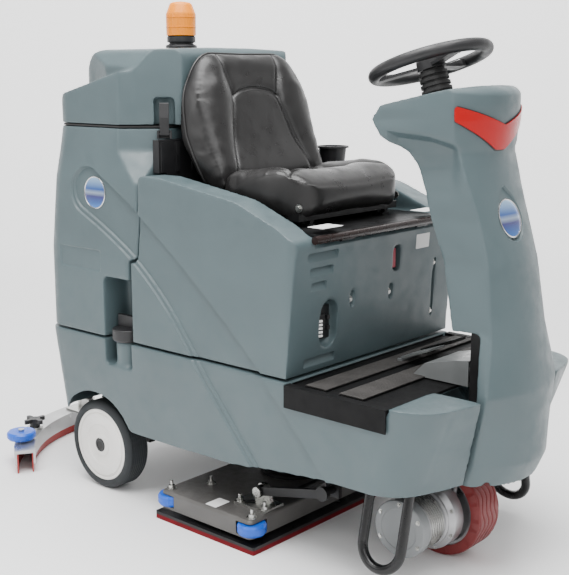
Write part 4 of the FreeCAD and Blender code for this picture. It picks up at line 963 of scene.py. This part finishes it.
def beacon():
    """Black base, ribbed amber dome with two bands, and the lamp inside."""
    low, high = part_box("beacon")
    place = ((low.x + high.x) / 2, 0, 0)
    base = soft_line([(0, low.z), (0.044, low.z), (0.044, low.z + 0.007, 0.003),
                      (0.034, low.z + 0.011, 0.003), (0.034, low.z + 0.014), (0.040, low.z + 0.016, 0.002),
                      (0.040, BEACON_SEAM - 0.004, 0.002), (0.036, BEACON_SEAM), (0, BEACON_SEAM)],
                     closed=False)
    thing = lathe("beacon_base", base, place, (0, 0, 1), "black_plastic", "lid")
    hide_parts("beacon")
    bottom = BEACON_SEAM + 0.0002
    outer = soft_line([(0.0415, bottom), (0.0415, 1.322, 0.02), (0.030, high.z - 0.004, 0.014), (0, high.z)],
                      8, closed=False)
    inner = [(max(r - 0.0025, 0), z - (0.0025 if r < 0.039 else 0)) for r, z in outer[::-1]]
    inner = [(r, max(z, bottom)) for r, z in inner]
    lathe("beacon_dome", [*outer, *inner], place, (0, 0, 1), "amber_lens", "lid", 144,
          lambda angle, row: 1 + (0.012 * math.cos(36 * angle) if 0 < row < 5 else 0))
    lamp = soft_line([(0, BEACON_SEAM), (0.034, BEACON_SEAM), (0.034, 1.268), (0.020, 1.275, 0.004),
                      (0.016, 1.300), (0.010, 1.318, 0.004), (0, 1.322)], closed=False)
    lathe("beacon_lamp", lamp, place, (0, 0, 1), "chrome", "lid", 48)
    for level in (1.285, 1.312):
        ring = [(0.0408, level - 0.0016), (0.0426, level - 0.0008), (0.0426, level + 0.0008),
                (0.0408, level + 0.0016)]
        name = f"beacon_band_{int(level * 1000)}"
        lathe(name, ring, place, (0, 0, 1), "amber_lens", "lid", 96)


beacon()


# -------- wheels
def rear_wheel(node, side):
    """Pale dished rim with a grey ribbed tyre, a hub ring and a key."""
    low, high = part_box(node)
    place = ((low.x + high.x) / 2, (low.y + high.y) / 2, (low.z + high.z) / 2)
    axis = (0, side, 0)
    half = (high.y - low.y) / 2
    radius = (high.z - low.z) / 2
    rim = soft_line([(0.0122, -half + 0.006), (0.022, -half + 0.006), (0.022, -half + 0.02, 0.002),
                     (0.086, -half + 0.02, 0.002), (0.092, -half + 0.003, 0.002), (0.103, -half + 0.003),
                     (0.103, half - 0.004, 0.002), (0.0955, half - 0.004, 0.002),
                     (0.0935, half - 0.0075, 0.001), (0.091, half - 0.0075, 0.001),
                     (0.089, half - 0.003, 0.001), (0.060, half - 0.003, 0.002),
                     (0.056, half - 0.006, 0.002), (0.034, half - 0.006, 0.002),
                     (0.031, half - 0.0015, 0.002), (0.0122, half - 0.0015)], 4)
    thing = lathe(node + "_rim", rim, place, axis, "wheel_rim", node, 128)
    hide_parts(node)
    tyre = [(0.1032, -half + 0.004), (0.106, -half + 0.001), (0.113, -half), (radius - 0.004, -half + 0.005),
            (radius - 0.0012, -half + 0.010)]
    ribs = enumerate(np.linspace(-half + 0.012, half - 0.012, 15))
    tyre += [(radius - (0.0014 if k % 2 else 0.0), along) for k, along in ribs]
    tyre += [(r, -a) for r, a in tyre[4::-1]]
    lathe(node + "_tyre", tyre, place, axis, "tyre_grey", node, 160)
    hub = soft_line([(0.0121, half - 0.004), (0.019, half - 0.004), (0.019, half, 0.001), (0.0121, half)])
    lathe(node + "_hub_ring", hub, place, axis, "black_plastic", node, 48)
    turn = Matrix.Translation(Vector(place)) @ facing((0, 0, 0), axis)
    key = turn @ Matrix.Translation((0, 0.016, half - 0.0016))
    plate(node + "_key", rounded(0.006, 0.009, 0.001), key, 0.0014, "plated_steel", node)


# Drive tyre: wavy grooves in its tread
TYRE_HALF_WIDTH = 0.045
TYRE_BORE = 0.0925
GROOVE_PITCH = 0.018
GROOVE_WAVES = 10
GROOVE_DEPTH = 0.0032


def drive_wheel():
    """Red tyre with wavy grooves on a cast hub with five bolts."""
    low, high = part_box("drive_wheel")
    place = Vector(((low.x + high.x) / 2, 0, (low.z + high.z) / 2))
    half = TYRE_HALF_WIDTH
    radius = (high.z - low.z) / 2
    steps, rows = 360, 61
    points = []
    for row in range(rows):
        across = -half + 2 * half * row / (rows - 1)
        edge = max(0.0, abs(across) - half + 0.006) / 0.006
        base = radius - 0.003 * edge ** 2
        for k in range(steps):
            angle = 2 * math.pi * k / steps
            swing = 0.006 * math.sin(GROOVE_WAVES * angle)
            lane = (across + swing) % GROOVE_PITCH - GROOVE_PITCH / 2
            cut = GROOVE_DEPTH * math.exp(-(lane / 0.0016) ** 2) * (1 - edge if edge < 1 else 0)
            r = base - cut
            points.append(around(place, r, angle, across))
    for across in (half, -half):
        for k in range(steps):
            points.append(around(place, TYRE_BORE, 2 * math.pi * k / steps, across))
    faces = []
    order = [*range(rows), rows, rows + 1]
    for below, above in zip(order, [*order[1:], order[0]]):
        for k in range(steps):
            following = (k + 1) % steps
            faces.append((below * steps + k, below * steps + following,
                          above * steps + following, above * steps + k))
    tyre = piece("drive_tyre", points, faces, "drive_rubber", "drive_wheel", 50)
    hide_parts("drive_wheel")
    hub = soft_line([(0, -0.040), (0.030, -0.040, 0.002), (0.034, -0.016, 0.004), (0.082, -0.012, 0.004),
                     (0.084, -0.040, 0.002), (0.092, -0.040), (0.092, 0.040), (0.084, 0.040, 0.002),
                     (0.084, 0.0, 0.004), (0.034, -0.004, 0.004), (0.030, 0.026, 0.002), (0, 0.028)],
                    4, closed=False)
    lathe("drive_hub", hub, place, (0, 1, 0), "cast_metal", "drive_wheel")
    for k in range(5):
        at = around(place, 0.055, 2 * math.pi * k / 5, -0.003)
        bolt(f"drive_hub_bolt_{k}", at, (0, 1, 0), 0.006, "drive_wheel")


rear_wheel("rear_wheel_right", -1)
rear_wheel("rear_wheel_left", 1)
drive_wheel()


# -------- drive motor
def drive_motor():
    """Flanged gearbox, finned motor and a screwed end cover."""
    low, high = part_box("drive_motor")
    place = ((low.x + high.x) / 2, high.y, (low.z + high.z) / 2)
    axis = (0, -1, 0)
    body = soft_line([(0, 0), (0.084, 0, 0.002), (0.084, 0.034, 0.003), (0.072, 0.044, 0.002),
                      (0.072, 0.050, 0.001), (0.066, 0.052), (0.066, 0.118), (0, 0.118)], 4, closed=False)
    thing = lathe("motor_body", body, place, axis, "cast_metal", "fork")
    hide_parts("drive_motor")
    for k in range(7):
        along = 0.060 + 0.0075 * k
        ring = [(0.0655, along), (0.0685, along), (0.0685, along + 0.003), (0.0655, along + 0.003)]
        lathe(f"motor_ring_{k}", ring, place, axis, "plated_steel", "fork", 72)
    cover = soft_line([(0, 0.118), (0.070, 0.118, 0.001), (0.070, 0.146, 0.004), (0.050, 0.1495, 0.002),
                       (0.048, 0.1475, 0.001), (0, 0.1475)], 4, closed=False)
    lathe("motor_cover", cover, place, axis, "motor_grey", "fork", 72)
    for k in range(6):
        at = around(place, 0.060, math.pi / 6 + k * math.pi / 3, -0.147)
        bolt(f"motor_screw_{k}", at, axis, 0.0035, "fork")
    for k in range(8):
        angle = math.pi / 8 + k * math.pi / 4
        at = Vector(place) + Vector((0.0775, 0, 0)) @ Matrix.Rotation(angle, 3, "Y")
        bolt(f"gearbox_bolt_{k}", at + Vector((0, -0.0375, 0)), axis, 0.0035, "fork")


drive_motor()


# -------- footwell
STRIP_RIBS = 12
STRIP_HALF_LENGTH = 0.3178


def mat_strips():
    """Worn grey tread strips with fine grooves on the mat."""
    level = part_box("step_mat")[1].z
    for name, start, end in (("rear", 762, 822), ("front", 861, 928)):
        left, right = frame_place(start, 0, 0).x, frame_place(end, 0, 0).x
        pitch = (right - left) / STRIP_RIBS
        line = []
        for k in range(STRIP_RIBS):
            for share, height in ((0.0, 0.0002), (0.12, 0.0013), (0.78, 0.0013), (0.9, 0.0002)):
                line.append((left + (k + share) * pitch, height))
        line.append((right, 0.0002))
        ends = (-STRIP_HALF_LENGTH, STRIP_HALF_LENGTH)
        rows = [[Vector((x, y, level + h)) for x, h in line] for y in ends]
        count = len(line)
        faces = [(k, k + 1, count + k + 1, count + k) for k in range(count - 1)]
        under = [Vector((x, y, level - 0.001)) for y in ends for x in (left, right)]
        faces.append((2 * count, 2 * count + 1, 2 * count + 3, 2 * count + 2))
        points = [*rows[0], *rows[1], *under]
        piece(f"mat_strip_{name}", points, faces, "strip_grey", "machine", 20)


def kick_strip():
    """Black strip on the ledge between the seat box and the mat."""
    low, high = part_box("step_mat")
    back = frame_place(722, 0, 0).x
    depth = low.x - back
    matrix = facing(Vector(((back + low.x) / 2, 0, high.z - 0.010)), (0, 0, 1), (1, 0, 0))
    plate("kick_strip", rounded(0.636, depth, 0.001), matrix, 0.008, "mat_rubber", "machine")


mat_strips()
kick_strip()


# -------- scrub deck
def deck_label():
    """Blank label on the deck's housing."""
    place, normal = spot(frame["nodes"]["deck_housing"], frame_place(465, -312, 400), (0, 0, -1))
    label("deck_label", place, normal, 0.052, 0.038, up=(1, 0, 0), body="deck")


deck_label()


# -------- column front
column_skin = bpy.data.objects["column_shell_skin"]
tank_skin = bpy.data.objects["recovery_tank_skin"]


def badges():
    """Blank badges on the column and on both sides of the tank."""
    where, _ = spot(column_skin, frame_place(1300, 0, 1000 * BADGE_HEIGHT), (-1, 0, 0))
    badge("column_badge", where, COLUMN_NORMAL, 0.0455)
    for side, name in ((-1, "right"), (1, "left")):
        where, normal = spot(tank_skin, frame_place(33, side * 600, 846), (0, -side, 0))
        badge("tank_badge_" + name, where - normal * 0.0004, normal, 0.0435)


STEERING_CENTRE = (871, 0, 1182)
STEERING_TILT = math.radians(17.9)
CLIP_RADIUS = 0.114


def wheel_clips():
    """Bright clips where the spokes meet the steering wheel's rim."""
    centre = Matrix.Translation(frame_place(*STEERING_CENTRE))
    lean = Matrix.Rotation(-STEERING_TILT, 4, "Y")
    for angle in (90, 210, 330):
        turn = Matrix.Rotation(math.radians(angle), 4, "Z")
        matrix = centre @ lean @ turn @ Matrix.Translation((CLIP_RADIUS, 0, 0.0042))
        plate(f"wheel_clip_{angle}", rounded(0.018, 0.026, 0.004), matrix, 0.0012, "chrome",
              "steering_wheel", 0.0004)


def lens_frame():
    """Dark seal round the red lens."""
    thing = copy_of("signal_lens", "lens_seal")
    swell(thing, 0.0032)
    apply_modifiers(thing)
    places = points_of(thing.data)
    outward = places * (1, 1, 0) - (AXLE_X + 0.866, 0, 0)
    outward /= np.linalg.norm(outward, axis=1)[:, None]
    set_points(thing.data, places - 0.0048 * outward)
    paint(thing, MATERIALS["seal_rubber"])
    soft_shading(thing)
    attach(thing, "machine")


badges()
wheel_clips()
lens_frame()


# -------- stage
CAMERA_AZIMUTH = math.radians(41.38)
CAMERA_PITCH = math.radians(11.36)
CAMERA_PLACE = (1.958, -2.136, 1.161)
CAMERA_LENS = 67.1
WORLD_LIGHT = 0.65
LIGHTS = [("top", (0.3, -0.6, 4.0), 3.6, 380), ("front", (3.2, -2.4, 2.6), 2.0, 40),
          ("side", (-1.0, -3.8, 2.4), 2.2, 45)]
FLOOR_REACH = 14.0
BACKDROP = 6.5
BACKDROP_HEIGHT = 7.0
BEND = 2.5
BACKDROP_GLOW = 1.2
GLOW_START = 1.2


def floor():
    """Pale floor that curves up into a backdrop well behind the machine."""
    away = Vector((-math.sin(CAMERA_AZIMUTH), math.cos(CAMERA_AZIMUTH), 0))
    aside = Vector((away.y, -away.x, 0))
    bend = [(BACKDROP - BEND * (1 - math.sin(t)), BEND * (1 - math.cos(t)))
            for t in np.linspace(0, math.pi / 2, 24)]
    profile = [(-FLOOR_REACH, 0.0), *bend, (BACKDROP, BACKDROP_HEIGHT)]
    points = [away * along + aside * across + Vector((0, 0, z))
              for along, z in profile for across in (-FLOOR_REACH, FLOOR_REACH)]
    faces = [(2 * k, 2 * k + 1, 2 * k + 3, 2 * k + 2) for k in range(len(profile) - 1)]
    mesh = bpy.data.meshes.new("floor")
    mesh.from_pydata([tuple(p) for p in points], [], faces)
    mesh.shade_smooth()
    thing = placed("floor", mesh)
    material, shader = principled("floor", (0.9, 0.9, 0.9), 0.7)
    place = add(material, "ShaderNodeTexCoord")
    distance = add(material, "ShaderNodeVectorMath", operation="DOT_PRODUCT")
    distance.inputs[1].default_value = away
    rise = add(material, "ShaderNodeMapRange")
    rise.inputs["From Min"].default_value = GLOW_START
    rise.inputs["From Max"].default_value = BACKDROP
    rise.inputs["To Max"].default_value = BACKDROP_GLOW
    link(material, place.outputs["Object"], distance.inputs[0])
    link(material, distance.outputs["Value"], rise.inputs["Value"])
    link(material, rise.outputs["Result"], shader.inputs["Emission Strength"])
    shader.inputs["Emission Color"].default_value = (1, 1, 1, 1)
    mesh.materials.append(material)


def point_at(thing, place, aim):
    """Puts a light or camera at a place, facing along aim."""
    thing.location = place
    thing.rotation_euler = aim.to_track_quat("-Z", "Y").to_euler()


def soft_light(name, place, size, power):
    """Square light that faces the machine's middle."""
    light = bpy.data.lights.new(name, "AREA")
    light.size = size
    light.energy = power
    point_at(placed(name, light), place, Vector((0, 0, 0.6)) - Vector(place))


def lights():
    world = bpy.data.worlds.new("studio")
    world.use_nodes = True
    background = world.node_tree.nodes["Background"]
    background.inputs["Color"].default_value = (1, 1, 1, 1)
    background.inputs["Strength"].default_value = WORLD_LIGHT
    bpy.context.scene.world = world
    for light in LIGHTS:
        soft_light(*light)


def camera():
    data = bpy.data.cameras.new("camera")
    data.lens = CAMERA_LENS
    data.sensor_width = 36.0
    thing = placed("camera", data)
    level = math.cos(CAMERA_PITCH)
    aim = Vector((-math.sin(CAMERA_AZIMUTH) * level, math.cos(CAMERA_AZIMUTH) * level,
                  -math.sin(CAMERA_PITCH)))
    point_at(thing, CAMERA_PLACE, aim)
    bpy.context.scene.camera = thing


floor()
lights()
camera()
